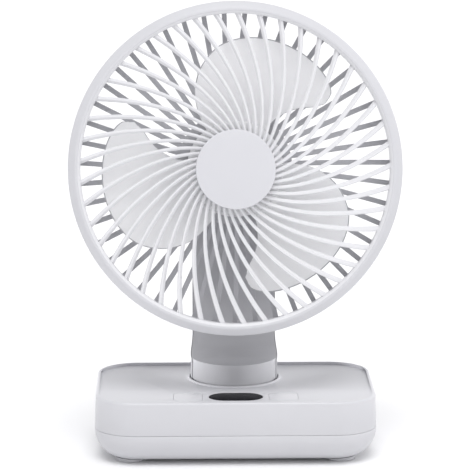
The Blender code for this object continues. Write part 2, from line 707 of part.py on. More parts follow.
def circle(radius, steps=24):
    return arc(0, 0, radius, 0, 360 - 360 / steps, steps - 1)


def build_swivel(steel, nylon, swivel_axis, pinion_axis):
    thrust_top = CUP_FLOOR_TOP + FIT + THRUST_HEIGHT
    thrust = ring("thrust", NECK_RADIUS - FIT, SPIGOT_RADIUS + 2 * MM, CUP_FLOOR_TOP + FIT, thrust_top)
    finish(moved(thrust, y=NECK_Y), "thrust_ring", nylon)

    low = thrust_top + FIT
    flange_top = NECK_FOOT_Z - FIT
    plug = NECK_RADIUS - NECK_WALL - FIT
    gear_top = CUP_FLOOR_TOP - CUP_FLOOR_HEIGHT - FIT
    gear_low = gear_top - GEAR_HEIGHT
    spigot_low = gear_low - FIT - CLIP_HEIGHT - MM / 2
    turntable = turned("turntable", [
        (SPIGOT_BORE, flange_top + PLUG_HEIGHT), (plug, flange_top + PLUG_HEIGHT), (plug, flange_top),
        (NECK_RADIUS - FIT, flange_top), (NECK_RADIUS - FIT, low), (SPIGOT_RADIUS, low),
        (SPIGOT_RADIUS, gear_top + FIT), (GEAR_SEAT_RADIUS, gear_top + FIT),
        (GEAR_SEAT_RADIUS, spigot_low), (SPIGOT_BORE, spigot_low)], True, 32)
    finish(moved(turntable, y=NECK_Y), "turntable", nylon, swivel_axis)

    bore = circle(GEAR_SEAT_RADIUS + FIT)
    outline = gear_outline(SECTOR_TEETH, SECTOR_CUT_TEETH, 0.0, 15 * MM)
    sector = slab("sector", [outline, bore], gear_low, gear_top)
    finish(moved(sector, y=NECK_Y), "sector_gear", nylon, swivel_axis)
    clip = ring("clip", GEAR_SEAT_RADIUS + 2.5 * MM, GEAR_SEAT_RADIUS + FIT, gear_low - FIT - CLIP_HEIGHT,
                gear_low - FIT)
    finish(moved(clip, y=NECK_Y), "sector_clip", steel, swivel_axis)

    shaft_x, shaft_y = swivel_shaft_place()
    outline = gear_outline(PINION_TEETH, PINION_TEETH, 0.0, 0)
    pinion = slab("pinion", [outline, circle(SWIVEL_SHAFT_RADIUS + FIT, 20)], gear_low, gear_top)
    finish(moved(pinion, shaft_x, shaft_y), "swivel_pinion", nylon, pinion_axis)
    floor = FOOT_HEIGHT + SHELL_WALL + FIT
    can_top = floor + SWIVEL_CAN_HEIGHT
    shaft = cylinder("shaft", SWIVEL_SHAFT_RADIUS, can_top + FIT, gear_top, (shaft_x, shaft_y), steps=16)
    finish(shaft, "swivel_shaft", steel, pinion_axis)

    can_x, can_y = swivel_can_place()
    can = cylinder("can", SWIVEL_CAN_RADIUS, floor, can_top, (can_x, can_y), steps=36)
    ear = []
    for side in (1, -1):
        ear += arc(can_x, can_y + side * SWIVEL_EAR_REACH, SWIVEL_EAR_RADIUS, 90 - side * 90,
                   270 - side * 90, 8)
    can = join(can, slab("ears", [ear], can_top - SWIVEL_EAR_HEIGHT, can_top - 0.01 * MM))
    for name, side in (("front", -1), ("rear", 1)):
        place = (can_x, can_y + side * SWIVEL_EAR_REACH)
        can = cut(can, cylinder("hole", SCREW_HOLE, 0, can_top + MM, place, steps=12))
        screw("swivel_screw_" + name, can_top - 8 * MM, can_top + FIT, SCREW_RADIUS, steel, place)
    finish(can, "swivel_motor", steel)


# ---------------------------------------------------------------- neck

def neck_front_outline(inset):
    """The neck seen from the front: full width below, drawn in by a smooth shoulder to the ears."""
    wide, narrow = NECK_RADIUS + 2 * MM, EAR_OUTER - inset
    top = HINGE_Z + EAR_RADIUS + MM
    side = [(wide, 0)]
    for k in range(7):
        share = k / 6
        ease = share * share * (3 - 2 * share)
        start = NECK_RADIUS - inset
        side.append((start + (narrow - start) * ease, SHOULDER_Z + SHOULDER_HEIGHT * share))
    side.insert(1, (wide, SHOULDER_Z))
    side.append((narrow, top))
    return side + [(-x, z) for x, z in reversed(side)]


def scoop_line(inset, top):
    """The scoop's surface in side view, from the front ledge up the arm, moved into the neck."""
    front = NECK_Y - NECK_RADIUS - MM
    wall = NECK_Y + SCOOP_BACK + inset
    radius = SCOOP_FILLET
    bend = arc(wall - radius, LEDGE_Z + radius - inset, radius, -90, 0, 6)
    return [(front, LEDGE_Z - inset)] + bend + [(wall, top)]


def build_neck(neck_grey, cable_black, swivel_axis):
    tall, back = HINGE_Z + EAR_RADIUS, NECK_Y + NECK_RADIUS + MM
    split = HINGE_Z - SLOT_DEPTH  # the cover ends here, and the hinge block goes on above
    tube = cylinder("tube", NECK_RADIUS, NECK_FOOT_Z, tall, (0, NECK_Y), steps=48)
    tube = keep(tube, front_slab("outline", neck_front_outline(0), -back * 2, back * 2))

    # Rear shell: the tube behind the cover, hollowed, with the ears on top
    seam = NECK_Y - SEAM_FORWARD + FIT
    cover_back = NECK_WALL + FIT
    line = scoop_line(cover_back, split)
    line = [(y, z) for y, z in line if y > seam]
    rear_profile = [(seam, 0), (seam, LEDGE_Z - cover_back)] + line + [(NECK_Y + SCOOP_BACK, split)]
    rear_profile += arc(HINGE_Y, HINGE_Z, EAR_RADIUS, 180, 0, 12) + [(back, HINGE_Z), (back, 0)]
    shell = keep(copy_of(tube, "rear_shell"), side_slab("rear", rear_profile, NECK_RADIUS + MM))
    slot = box("slot", (-SLOT_HALF, 0, split), (SLOT_HALF, back, tall * 2))
    hollow = cylinder("hollow", NECK_RADIUS - NECK_WALL, 0, split - HINGE_BLOCK, (0, NECK_Y), steps=48)
    hollow = keep(hollow, front_slab("outline", neck_front_outline(NECK_WALL), -back * 2, back * 2))
    shell = cut(shell, hollow)
    shell = cut(shell, slot)
    hinge, wide = (HINGE_Y, HINGE_Z), NECK_RADIUS * 2
    shell = cut(shell, cylinder("bore", PIN_BORE, -wide, wide, hinge, "X", 24))
    for side in (-1, 1):
        ends = sorted((side * (EAR_OUTER - CAP_HEIGHT), side * wide))
        shell = cut(shell, cylinder("seat", CAP_RADIUS + FIT, *ends, hinge, "X", 28))
    cable_y = NECK_Y + NECK_RADIUS - NECK_WALL - 1.9 * MM
    shell = cut(shell, cylinder("wire_hole", 2 * MM, split - 2 * HINGE_BLOCK, tall, (0, cable_y), steps=16))
    finish(shell, "neck_rear_shell", neck_grey, swivel_axis)

    # Front cover: the scoop's skin, with the front half of the tube below it
    skin = scoop_line(0, split - FIT) + scoop_line(NECK_WALL, split - FIT)[::-1]
    cover = keep(tube, side_slab("skin", skin, NECK_RADIUS + MM))
    wall_top = LEDGE_Z - NECK_WALL / 2
    wall = ring("wall", NECK_RADIUS, NECK_RADIUS - NECK_WALL, NECK_FOOT_Z, wall_top, 48)
    front = box("front", (-wide, -wide, 0), (wide, NECK_Y - SEAM_FORWARD, LEDGE_Z * 2))
    cover = join(cover, keep(moved(wall, y=NECK_Y), front))
    finish(cover, "neck_front_cover", neck_grey, swivel_axis)

    # Lead from the base to the hinge, lying on the shell's back wall
    radius = 1.5 * MM
    bore_y = NECK_Y + SPIGOT_BORE - radius - FIT
    foot = NECK_FOOT_Z
    path = [(bore_y, foot - 8.9 * MM), (bore_y, foot - 2.9 * MM), (bore_y, foot + 5.1 * MM),
            (bore_y + 2 * MM, foot + 11.1 * MM), (cable_y - 4 * MM, foot + 19.1 * MM),
            (cable_y - 0.5 * MM, foot + 25.1 * MM), (cable_y, foot + 33.1 * MM),
            (cable_y, split - 49.15 * MM), (cable_y, split - 25.15 * MM), (cable_y, split - 5.15 * MM)]
    curve = bpy.data.curves.new("lead", "CURVE")
    curve.dimensions = "3D"
    curve.bevel_depth = radius
    curve.bevel_resolution = 1
    curve.use_fill_caps = True
    spline = curve.splines.new("POLY")
    spline.points.add(len(path) - 1)
    for point, (y, z) in zip(spline.points, path):
        point.co = (0, y, z, 1)
    finish(realise(object_of("lead", curve)), "neck_lead", cable_black, swivel_axis)


def build_hinge(steel, white, nylon, swivel_axis):
    pin = cylinder("pin", PIN_RADIUS, -PIN_HALF, PIN_HALF, (HINGE_Y, HINGE_Z), "X", 24)
    finish(pin, "tilt_pin", steel, swivel_axis)
    for name, side in (("left", -1), ("right", 1)):
        ends = sorted((side * (BARREL_HALF + FIT), side * (BARREL_HALF + FIT + WASHER_HEIGHT)))
        washer = cylinder("washer", WASHER_RADIUS, *ends, (HINGE_Y, HINGE_Z), "X", 20)
        washer = cut(washer, cylinder("hole", PIN_BORE, -EAR_OUTER, EAR_OUTER, (HINGE_Y, HINGE_Z), "X", 16))
        finish(washer, "friction_washer_" + name, nylon, swivel_axis)
        ends = sorted((side * (EAR_OUTER - CAP_HEIGHT + FIT), side * (EAR_OUTER + FIT)))
        cap = cylinder("cap", CAP_RADIUS, *ends, (HINGE_Y, HINGE_Z), "X", 28)
        finish(cap, "hinge_cap_" + name, white, swivel_axis)


# ---------------------------------------------------------------- head, in its own frame

def spoke(name, start, end, steps, width, height, growth, lean, rise):
    """One curved spoke from a start to an end radius; rise gives its top's height at a radius."""
    section = bpy.data.curves.new(name + "_section", "CURVE")
    section.dimensions = "2D"
    spline = section.splines.new("POLY")
    corners = [(-width / 2, 0), (width / 2, 0), (0, -height)]
    spline.points.add(2)
    for point, (x, y) in zip(spline.points, corners):
        point.co = (x, y, 0, 1)
    spline.use_cyclic_u = True
    guide = object_of(name + "_section", section)

    curve = bpy.data.curves.new(name, "CURVE")
    curve.dimensions = "3D"
    curve.twist_mode = "Z_UP"
    curve.bevel_mode = "OBJECT"
    curve.bevel_object = guide
    curve.use_fill_caps = True
    path = curve.splines.new("POLY")
    path.points.add(steps)
    for k, point in enumerate(path.points):
        radius = start + (end - start) * k / steps
        turn = lean * math.log(radius / start)
        point.co = (radius * math.cos(turn), radius * math.sin(turn), rise(radius), 1)
        point.radius = 1 + (growth - 1) * k / steps
    made = realise(object_of(name, curve))
    bpy.data.objects.remove(guide)
    return made


def front_rise(radius):
    share = max(0.0, (radius - FRONT_HUB_RADIUS) / (CAGE_OPENING - FRONT_HUB_RADIUS))
    hub_top = FRONT_HUB_Z + FRONT_HUB_HEIGHT - 0.2 * MM
    rim_top = FRONT_RING_HEIGHT - 2.2 * MM
    return hub_top + (rim_top - hub_top) * share ** 1.6


def rear_rise(radius):
    share = max(0.0, (radius - REAR_HUB_RADIUS) / (CAGE_OPENING - REAR_HUB_RADIUS))
    hub_top = REAR_HUB_Z - 0.2 * MM
    rim_top = 3.4 * MM - REAR_RING_HEIGHT
    return hub_top + (rim_top - hub_top) * share ** 3


def build_front_grille(white, head):
    outer, inner, wall, high = CAGE_RADIUS, CAGE_OPENING, RING_WALL, FRONT_RING_HEIGHT
    rim = turned("rim", [
        (outer - wall, 0), (outer - wall, high - 3.2 * MM), (inner + wall * 0.8, high - 2.6 * MM),
        (inner + wall * 0.8, 1.5 * MM), (inner, 1.5 * MM), (inner, high - 1.5 * MM),
        (inner + 1.6 * MM, high), (outer - 2.6 * MM, high), (outer, high - 3.2 * MM),
        (outer, 0)], True, FRONT_SPOKES)
    hub = disc("hub", FRONT_HUB_RADIUS, FRONT_HUB_Z, FRONT_HUB_Z + FRONT_HUB_HEIGHT,
               steps=FRONT_SPOKES)
    start, end, half_step = FRONT_HUB_RADIUS - 1.6 * MM, inner + 0.9 * MM, math.pi / FRONT_SPOKES
    spokes = around(spoke("spoke", start, end, 5, SPOKE_WIDTH, SPOKE_HEIGHT, SPOKE_GROWTH, SPOKE_LEAN,
                          front_rise), FRONT_SPOKES, SPOKE_PHASE)
    turn(hub, SPOKE_PHASE + half_step)
    turn(rim, SPOKE_PHASE + SPOKE_LEAN * math.log(end / start) + half_step)
    grille = join(join(spokes, rim), hub)
    finish(grille, "front_grille", white, head)
    low = FRONT_HUB_Z + FRONT_HUB_HEIGHT + FIT
    cap = disc("cap", FRONT_CAP_RADIUS, low, low + FRONT_CAP_HEIGHT, 0.8 * MM, 40)
    finish(cap, "front_cap", white, head)


def pod_screw_places():
    return [(POD_SCREW_CIRCLE * math.cos(a), POD_SCREW_CIRCLE * math.sin(a))
            for a in (math.radians(90 + 120 * k) for k in range(3))]


def build_rear_grille(white, steel, head):
    outer, inner, wall, low = CAGE_RADIUS, CAGE_OPENING + 1.5 * MM, RING_WALL, -REAR_RING_HEIGHT
    rim = turned("rim", [
        (outer, -FIT), (outer - 0.3 * MM, low + 4 * MM), (outer - 3 * MM, low), (inner, low),
        (inner, low + 3.5 * MM), (outer - wall - MM, low + 3.5 * MM),
        (outer - wall, -FIT)], True, REAR_SPOKES)
    hub = disc("hub", REAR_HUB_RADIUS, REAR_HUB_Z - REAR_HUB_HEIGHT, REAR_HUB_Z, steps=REAR_SPOKES)
    start, end, half_step = REAR_HUB_RADIUS - 1.5 * MM, inner + MM, math.pi / REAR_SPOKES
    spokes = around(spoke("spoke", start, end, 3, REAR_SPOKE_WIDTH, REAR_SPOKE_HEIGHT, 1.0,
                          REAR_SPOKE_LEAN, rear_rise), REAR_SPOKES)
    turn(hub, half_step)
    turn(rim, REAR_SPOKE_LEAN * math.log(end / start) + half_step)
    grille = join(join(spokes, rim), hub)
    grille = cut(grille, cylinder("bore", TUBE_RADIUS + FIT, 2 * REAR_HUB_Z, 0, steps=28))
    holes = cylinder("hole", SCREW_HOLE, 2 * REAR_HUB_Z, 0, pod_screw_places()[0], steps=10)
    grille = cut(grille, around(holes, 3))
    finish(grille, "rear_grille", white, head)

    pod_top = REAR_HUB_Z - REAR_HUB_HEIGHT - FIT
    pod = turned("pod", [
        (0, POD_BACK + POD_WALL), (POD_RADIUS - 7.8 * MM, POD_BACK + POD_WALL),
        (POD_RADIUS - POD_WALL, POD_BACK + 7 * MM), (POD_RADIUS - POD_WALL, pod_top),
        (POD_RADIUS, pod_top), (POD_RADIUS, POD_BACK + 7 * MM),
        (POD_RADIUS - 2.2 * MM, POD_BACK + 2.6 * MM), (POD_RADIUS - 7 * MM, POD_BACK),
        (0, POD_BACK)], False, 36)
    bosses = cylinder("boss", 3.2 * MM, POD_BACK + MM, pod_top, pod_screw_places()[0], steps=12)
    pod = join(pod, around(bosses, 3))
    holes = cylinder("hole", SCREW_HOLE, pod_top - 9 * MM, 0, pod_screw_places()[0], steps=8)
    pod = cut(pod, around(holes, 3))
    for side in (-1, 1):
        pod = cut(pod, cylinder("hole", KNUCKLE_SCREW_RADIUS + FIT, POD_BACK - MM, POD_BACK + 2 * POD_WALL,
                                (0, side * KNUCKLE_SCREW_Y), steps=8))
    finish(pod, "motor_cover", white, head)
    for k, place in enumerate(pod_screw_places()):
        seat = REAR_HUB_Z + FIT
        screw(f"cover_screw_{k + 1}", seat - 9 * MM, seat, SCREW_RADIUS * 0.9, steel, place, parent=head)


def build_knuckle(neck_grey, steel, head):
    top = POD_BACK - FIT
    axis = -RING_FORWARD
    knuckle = cylinder("flange", KNUCKLE_RADIUS, top - KNUCKLE_HEIGHT, top, steps=28)
    arm = box("arm", (-ARM_HALF_WIDTH, -ARM_HALF_HEIGHT, axis), (ARM_HALF_WIDTH, ARM_HALF_HEIGHT, top - MM))
    barrel = cylinder("barrel", BARREL_RADIUS, -BARREL_HALF, BARREL_HALF, (0, axis), "X", 28)
    knuckle = join(join(knuckle, arm), barrel)
    knuckle = cut(knuckle, cylinder("bore", PIN_BORE, -EAR_OUTER, EAR_OUTER, (0, axis), "X", 20))
    for side in (-1, 1):
        knuckle = cut(knuckle, cylinder("hole", KNUCKLE_SCREW_RADIUS + FIT, top - 5 * MM, 0,
                                        (0, side * KNUCKLE_SCREW_Y), steps=8))
    finish(knuckle, "tilt_knuckle", neck_grey, head)
    for name, side in (("lower", -1), ("upper", 1)):
        screw("knuckle_screw_" + name, top - 4.5 * MM, POD_BACK + POD_WALL + FIT, KNUCKLE_SCREW_RADIUS,
              steel, (0, side * KNUCKLE_SCREW_Y), parent=head)


def edge_radius(edge, angle):
    """Radius of a blade edge at an angle, by a smooth curve through its points."""
    if angle <= edge[0][0]:
        return edge[0][1]
    for k in range(len(edge) - 1):
        (a0, r0), (a1, r1) = edge[k], edge[k + 1]
        if angle <= a1:
            before = edge[k - 1] if k else edge[k]
            after = edge[k + 2] if k + 2 < len(edge) else edge[k + 1]
            slope0 = (r1 - before[1]) / (a1 - before[0])
            slope1 = (after[1] - r0) / (after[0] - a0)
            t, span = (angle - a0) / (a1 - a0), a1 - a0
            return (r0 * (1 + 2 * t) * (1 - t) ** 2 + slope0 * span * t * (1 - t) ** 2
                    + r1 * t * t * (3 - 2 * t) + slope1 * span * t * t * (t - 1))
    return edge[-1][1]


def blade():
    """One pitched blade: a grid laid over its outline, rising from the leading lobe to the root."""
    columns, rows = 11, 2
    first, last = BLADE_TIP_EDGE[0][0], BLADE_TIP_EDGE[-1][0] - 2
    bm = bmesh.new()
    bmesh.ops.create_grid(bm, x_segments=columns, y_segments=rows, size=1)
    for vertex in bm.verts:
        across, out = (vertex.co.x + 1) / 2, (vertex.co.y + 1) / 2
        share = across * across * (3 - 2 * across) * 0.5 + across * 0.5
        angle = first + (last - first) * share
        reach = MM * BLADE_REACH / BLADE_DRAWN_REACH
        low = max(edge_radius(BLADE_ROOT_EDGE, angle) * reach, HUB_RADIUS - MM)
        high = max(edge_radius(BLADE_TIP_EDGE, angle) * reach, low + MM)
        radius = low + (high - low) * out
        height = BLADE_BACK + BLADE_RISE * (angle - first) / (BLADE_TIP_EDGE[-1][0] - first)
        turn = math.radians(angle)
        vertex.co = (radius * math.cos(turn), radius * math.sin(turn), height)
    mesh = bpy.data.meshes.new("blade")
    bm.to_mesh(mesh)
    bm.free()
    made = object_of("blade", mesh)
    skin = made.modifiers.new("skin", "SOLIDIFY")
    skin.thickness = BLADE_THICKNESS
    skin.offset = 0
    return realise(made)


def build_rotor(blade_white, steel, magnet_grey, head):
    hub = turned("hub", [
        (SHAFT_RADIUS + FIT, HUB_FRONT), (HUB_RADIUS - 5 * MM, HUB_FRONT),
        (HUB_RADIUS - 1.6 * MM, HUB_FRONT - 1.6 * MM), (HUB_RADIUS, HUB_FRONT - 5 * MM),
        (HUB_RADIUS, HUB_BACK), (HUB_BORE, HUB_BACK), (HUB_BORE, HUB_FRONT - HUB_FACE),
        (SHAFT_RADIUS + FIT, HUB_FRONT - HUB_FACE)], True, 36)
    finish(join(hub, around(blade(), BLADES)), "impeller", blade_white, head)

    bell_top = HUB_FRONT - HUB_FACE - FIT
    bell_low = HUB_BACK + 1.2 * MM
    face_low = bell_top - BELL_WALL
    bell = turned("bell", [
        (SHAFT_RADIUS + FIT, bell_top), (BELL_RADIUS, bell_top), (BELL_RADIUS, bell_low),
        (BELL_RADIUS - BELL_WALL, bell_low), (BELL_RADIUS - BELL_WALL, face_low), (3.4 * MM, face_low),
        (3.4 * MM, face_low - 1.4 * MM), (SHAFT_RADIUS + FIT, face_low - 1.4 * MM)], True, 28)
    finish(bell, "rotor_bell", steel, head)
    magnet_outer = BELL_RADIUS - BELL_WALL - FIT
    magnet = ring("magnet", magnet_outer, magnet_outer - MAGNET_WALL, bell_low + MM, face_low - FIT, 28)
    finish(magnet, "magnet_ring", magnet_grey, head)
    shaft_low = REAR_HUB_Z - REAR_HUB_HEIGHT + MM
    clip_low = HUB_FRONT + FIT
    shaft = cylinder("shaft", SHAFT_RADIUS, shaft_low, clip_low + 2 * MM, steps=16)
    finish(shaft, "fan_shaft", steel, head)
    nut = slab("nut", [circle(3.4 * MM, 6), circle(SHAFT_RADIUS + FIT, 16)], clip_low, clip_low + 1.8 * MM)
    finish(nut, "fan_nut", steel, head)


def build_stator(steel, copper, board_green, brass, head):
    tube_low = REAR_HUB_Z - REAR_HUB_HEIGHT
    tube_high = 1.6 * MM
    flange_low = REAR_HUB_Z + FIT
    bore = BEARING_RADIUS + FIT
    tube = turned("tube", [
        (bore, tube_high), (TUBE_RADIUS, tube_high), (TUBE_RADIUS, flange_low + 1.4 * MM),
        (9 * MM, flange_low + 1.4 * MM), (9 * MM, flange_low), (TUBE_RADIUS, flange_low),
        (TUBE_RADIUS, tube_low), (bore, tube_low)], True, 20)
    finish(tube, "bearing_tube", brass, head)
    for name, low in (("bearing_rear", tube_low + MM), ("bearing_front", tube_high - 3.2 * MM)):
        finish(ring(name, BEARING_RADIUS, SHAFT_RADIUS + FIT, low, low + 2.8 * MM, 16), name, steel, head)

    board_low = flange_low + 1.4 * MM + FIT
    board = ring("driver", STATOR_RADIUS - 2 * MM, TUBE_RADIUS + FIT, board_low, board_low + MM, 24)
    finish(board, "driver_board", board_green, head)
    low = board_low + MM + FIT
    outline = []
    tip, neck, root = STATOR_RADIUS, STATOR_RADIUS - 2 * MM, 8.5 * MM
    for k in range(STATOR_POLES):
        middle = 360 / STATOR_POLES * k
        for radius, offset in ((root, -12), (neck, -6), (neck, -16), (tip, -16), (tip, -5), (tip, 5),
                               (tip, 16), (neck, 16), (neck, 6), (root, 12)):
            angle = math.radians(middle + offset)
            outline.append((radius * math.cos(angle), radius * math.sin(angle)))
    core = slab("core", [outline, circle(TUBE_RADIUS + FIT, 28)], low, low + STATOR_HEIGHT)
    finish(core, "stator_core", copper, head)


def main():
    white = material("shell_white", (0.80, 0.80, 0.83), 0.42)
    neck_grey = material("neck_grey", (0.68, 0.68, 0.71), 0.45)
    blade_white = material("blade_white", (0.84, 0.84, 0.84), 0.35)
    silicone = material("silicone", (0.72, 0.72, 0.74), 0.7)
    black = material("lens_black", (0.02, 0.02, 0.025), 0.12)
    steel = material("steel", (0.62, 0.62, 0.64), 0.3, 1.0)
    brass = material("brass", (0.78, 0.6, 0.3), 0.3, 1.0)
    copper = material("stator", (0.55, 0.35, 0.25), 0.5, 0.4)
    magnet_grey = material("magnet", (0.18, 0.18, 0.19), 0.6)
    nylon = material("nylon", (0.85, 0.84, 0.8), 0.5)
    board_green = material("board", (0.05, 0.25, 0.12), 0.5)
    dark_part = material("dark_part", (0.06, 0.06, 0.07), 0.5)
    cell_wrap = material("cell_wrap", (0.1, 0.3, 0.55), 0.4)
    frame_grey = material("frame_grey", (0.3, 0.3, 0.32), 0.6)
    cable_black = material("cable", (0.03, 0.03, 0.03), 0.6)

    # Empties on the joint axes; the head's frame lies on the fan's axis and tilts with the hinge
    swivel_axis = axis("swivel_axis", (0, NECK_Y, 0))
    pinion_axis = axis("pinion_axis", (*swivel_shaft_place(), 0))
    tilt_axis = axis("tilt_axis", (0, HINGE_Y, HINGE_Z), parent=swivel_axis)
    head = axis("head_frame", (0, HINGE_Y - RING_FORWARD * math.cos(HEAD_TILT),
                               HINGE_Z + RING_FORWARD * math.sin(HEAD_TILT)), tilt_axis)
    head.rotation_euler = (math.pi / 2 - HEAD_TILT, 0, 0)
    bpy.context.view_layer.update()

    build_base_shells(white)
    build_feet_and_base_screws(silicone, steel)
    build_control_panel(white, black, board_green, dark_part)
    build_power(cell_wrap, frame_grey, board_green, steel)
    build_swivel(steel, nylon, swivel_axis, pinion_axis)
    build_neck(neck_grey, cable_black, swivel_axis)
    build_hinge(steel, white, nylon, swivel_axis)
    build_front_grille(white, head)
    build_rear_grille(white, steel, head)
    build_knuckle(neck_grey, steel, head)
    build_rotor(blade_white, steel, magnet_grey, head)
    build_stator(steel, copper, board_green, brass, head)


for leftover in list(bpy.data.objects):
    bpy.data.objects.remove(leftover)
FAN = collection("desk_fan")
main()
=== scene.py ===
import json
import math

import bmesh
import bpy
from mathutils import Matrix, Vector


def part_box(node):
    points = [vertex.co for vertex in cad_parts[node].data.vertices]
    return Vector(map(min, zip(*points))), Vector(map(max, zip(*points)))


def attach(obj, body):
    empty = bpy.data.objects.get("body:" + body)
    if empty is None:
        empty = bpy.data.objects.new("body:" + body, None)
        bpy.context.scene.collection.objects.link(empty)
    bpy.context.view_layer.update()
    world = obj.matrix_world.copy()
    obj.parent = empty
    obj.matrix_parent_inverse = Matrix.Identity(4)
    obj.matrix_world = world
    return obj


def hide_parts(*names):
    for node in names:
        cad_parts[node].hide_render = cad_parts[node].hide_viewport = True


# Rechargeable desk fan. Metres, Z up, and the fan blows towards -Y.
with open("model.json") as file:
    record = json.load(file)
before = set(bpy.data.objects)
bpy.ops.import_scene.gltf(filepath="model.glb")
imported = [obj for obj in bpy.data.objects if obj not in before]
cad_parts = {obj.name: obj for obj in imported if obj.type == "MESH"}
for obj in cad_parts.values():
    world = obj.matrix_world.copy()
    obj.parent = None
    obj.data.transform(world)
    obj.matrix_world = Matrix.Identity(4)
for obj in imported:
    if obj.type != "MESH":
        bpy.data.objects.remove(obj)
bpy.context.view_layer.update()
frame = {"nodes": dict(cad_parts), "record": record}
mm = 0.001
nodes = frame["nodes"]
print("frame loaded:", len(nodes), "nodes")


# Working by hand: selecting, drawing and cutting

def clearSelection():
    for ob in list(bpy.context.selected_objects):
        ob.select_set(False)


def makeActive(ob):
    clearSelection()
    ob.select_set(True)
    bpy.context.view_layer.objects.active = ob


def editMode():
    bpy.ops.object.mode_set(mode="EDIT")


def objectMode():
    bpy.ops.object.mode_set(mode="OBJECT")


def nameIt(name):
    ob = bpy.context.object
    ob.name = name
    ob.data.name = name
    return ob


def pick(ob, kind, test):  # in edit mode, selects only what passes the test
    bpy.ops.mesh.select_mode(type=kind)
    bpy.ops.mesh.select_all(action="DESELECT")
    work = bmesh.from_edit_mesh(ob.data)
    for part in [p for p in {"VERT": work.verts, "EDGE": work.edges, "FACE": work.faces}[kind] if test(p)]:
        part.select_set(True)
    bmesh.update_edit_mesh(ob.data)


def allBetween(edge, low, high):  # both ends of the edge lie between two heights
    return all(low <= v.co.z <= high for v in edge.verts)


def middleOf(part):
    return sum((v.co for v in part.verts), Vector()) / len(part.verts)


def turnSelection(angle, axis="Z", centre=(0, 0, 0)):  # with no window the operator turns the other way
    bpy.ops.transform.rotate(value=-angle, orient_axis=axis, orient_type="GLOBAL", center_override=centre)


def tidyMesh():  # in edit mode
    bpy.ops.mesh.select_mode(type="VERT")
    bpy.ops.mesh.select_all(action="SELECT")
    bpy.ops.mesh.remove_doubles(threshold=0.002 * mm)
    bpy.ops.mesh.normals_make_consistent(inside=False)


def drawLine(name, points):  # a line of vertices, extruded from point to point; stays in edit mode
    clearSelection()
    bpy.ops.mesh.primitive_plane_add(size=mm)
    ob = nameIt(name)
    editMode()
    bpy.ops.mesh.select_mode(type="VERT")
    bpy.ops.mesh.select_all(action="SELECT")
    bpy.ops.mesh.merge(type="CENTER")
    bpy.ops.transform.translate(value=points[0])
    for before, after in zip(points, points[1:]):
        step = Vector(after) - Vector(before)
        bpy.ops.mesh.extrude_region_move(TRANSFORM_OT_translate={"value": step})
    return ob


def rounded(corners, steps=4):  # (u, v) corners, or (u, v, radius) where the corner is round
    line = []
    for k, corner in enumerate(corners):
        here = Vector(corner[:2])
        if len(corner) == 2:
            line.append(here)
            continue
        toBefore = (Vector(corners[k - 1][:2]) - here).normalized()
        toAfter = (Vector(corners[(k + 1) % len(corners)][:2]) - here).normalized()
        half = toBefore.angle(toAfter) / 2
        centre = here + (toBefore + toAfter).normalized() * corner[2] / math.sin(half)
        start = here + toBefore * corner[2] / math.tan(half) - centre
        end = here + toAfter * corner[2] / math.tan(half) - centre
        line += [centre + start.slerp(end, s / steps) * corner[2] for s in range(steps + 1)]
    return line


def turned(name, corners, steps, ringShaped=True, arcSteps=4):  # a profile (radius, height), spun round Z
    line = [(point.x, 0, point.y) for point in rounded(corners, arcSteps)]
    ob = drawLine(name, line)
    if ringShaped:
        ends = (Vector(line[0]), Vector(line[-1]))
        pick(ob, "VERT", lambda v: min((v.co - end).length for end in ends) < 0.001 * mm)
        bpy.ops.mesh.edge_face_add()
    bpy.ops.mesh.select_all(action="SELECT")
    bpy.ops.mesh.spin(steps=steps, angle=2 * math.pi, center=(0, 0, 0), axis=(0, 0, 1))
    tidyMesh()
    objectMode()
    return ob


def plate(name, points, across):  # a closed outline, filled, and extruded by the vector across
    ob = drawLine(name, points)
    bpy.ops.mesh.select_all(action="SELECT")
    bpy.ops.mesh.edge_face_add()
    bpy.ops.mesh.extrude_region_move(TRANSFORM_OT_translate={"value": across})
    tidyMesh()
    objectMode()
    return ob


def bar(name, radius, low, high, axis="Z", place=(0, 0), sides=64):  # a round bar along an axis
    clearSelection()
    middle = (low + high) / 2
    where = {"X": (middle, *place), "Y": (place[0], middle, place[1]), "Z": (*place, middle)}[axis]
    turn = {"X": (0, math.pi / 2, 0), "Y": (math.pi / 2, 0, 0), "Z": (0, 0, 0)}[axis]
    bpy.ops.mesh.primitive_cylinder_add(vertices=sides, radius=radius, depth=high - low, location=where,
                                        rotation=turn)
    bpy.ops.object.transform_apply(location=True, rotation=True, scale=True)
    return nameIt(name)


def block(name, low, high):
    clearSelection()
    low, high = Vector(low), Vector(high)
    bpy.ops.mesh.primitive_cube_add(size=1, location=(low + high) / 2, scale=high - low)
    bpy.ops.object.transform_apply(location=True, rotation=False, scale=True)
    return nameIt(name)


def roundedBar(name, size, corner, low, high, centre=(0, 0), segments=8):  # upright, with round corners
    ob = block(name, (centre[0] - size[0] / 2, centre[1] - size[1] / 2, low),
               (centre[0] + size[0] / 2, centre[1] + size[1] / 2, high))
    editMode()
    pick(ob, "EDGE", lambda e: abs(e.verts[0].co.z - e.verts[1].co.z) > (high - low) / 2)
    bpy.ops.mesh.bevel(offset=corner, segments=segments, profile=0.5, affect="EDGES", clamp_overlap=False)
    objectMode()
    return ob


def applyModifier(ob, kind, **settings):
    makeActive(ob)
    modifier = ob.modifiers.new(kind.title(), kind)
    for key, value in settings.items():
        setattr(modifier, key, value)
    bpy.ops.object.modifier_apply(modifier=modifier.name)
    return ob


def combine(ob, operation, *tools):
    for tool in tools:
        applyModifier(ob, "BOOLEAN", operation=operation, object=tool, solver="EXACT")
        bpy.data.objects.remove(tool)
    return ob


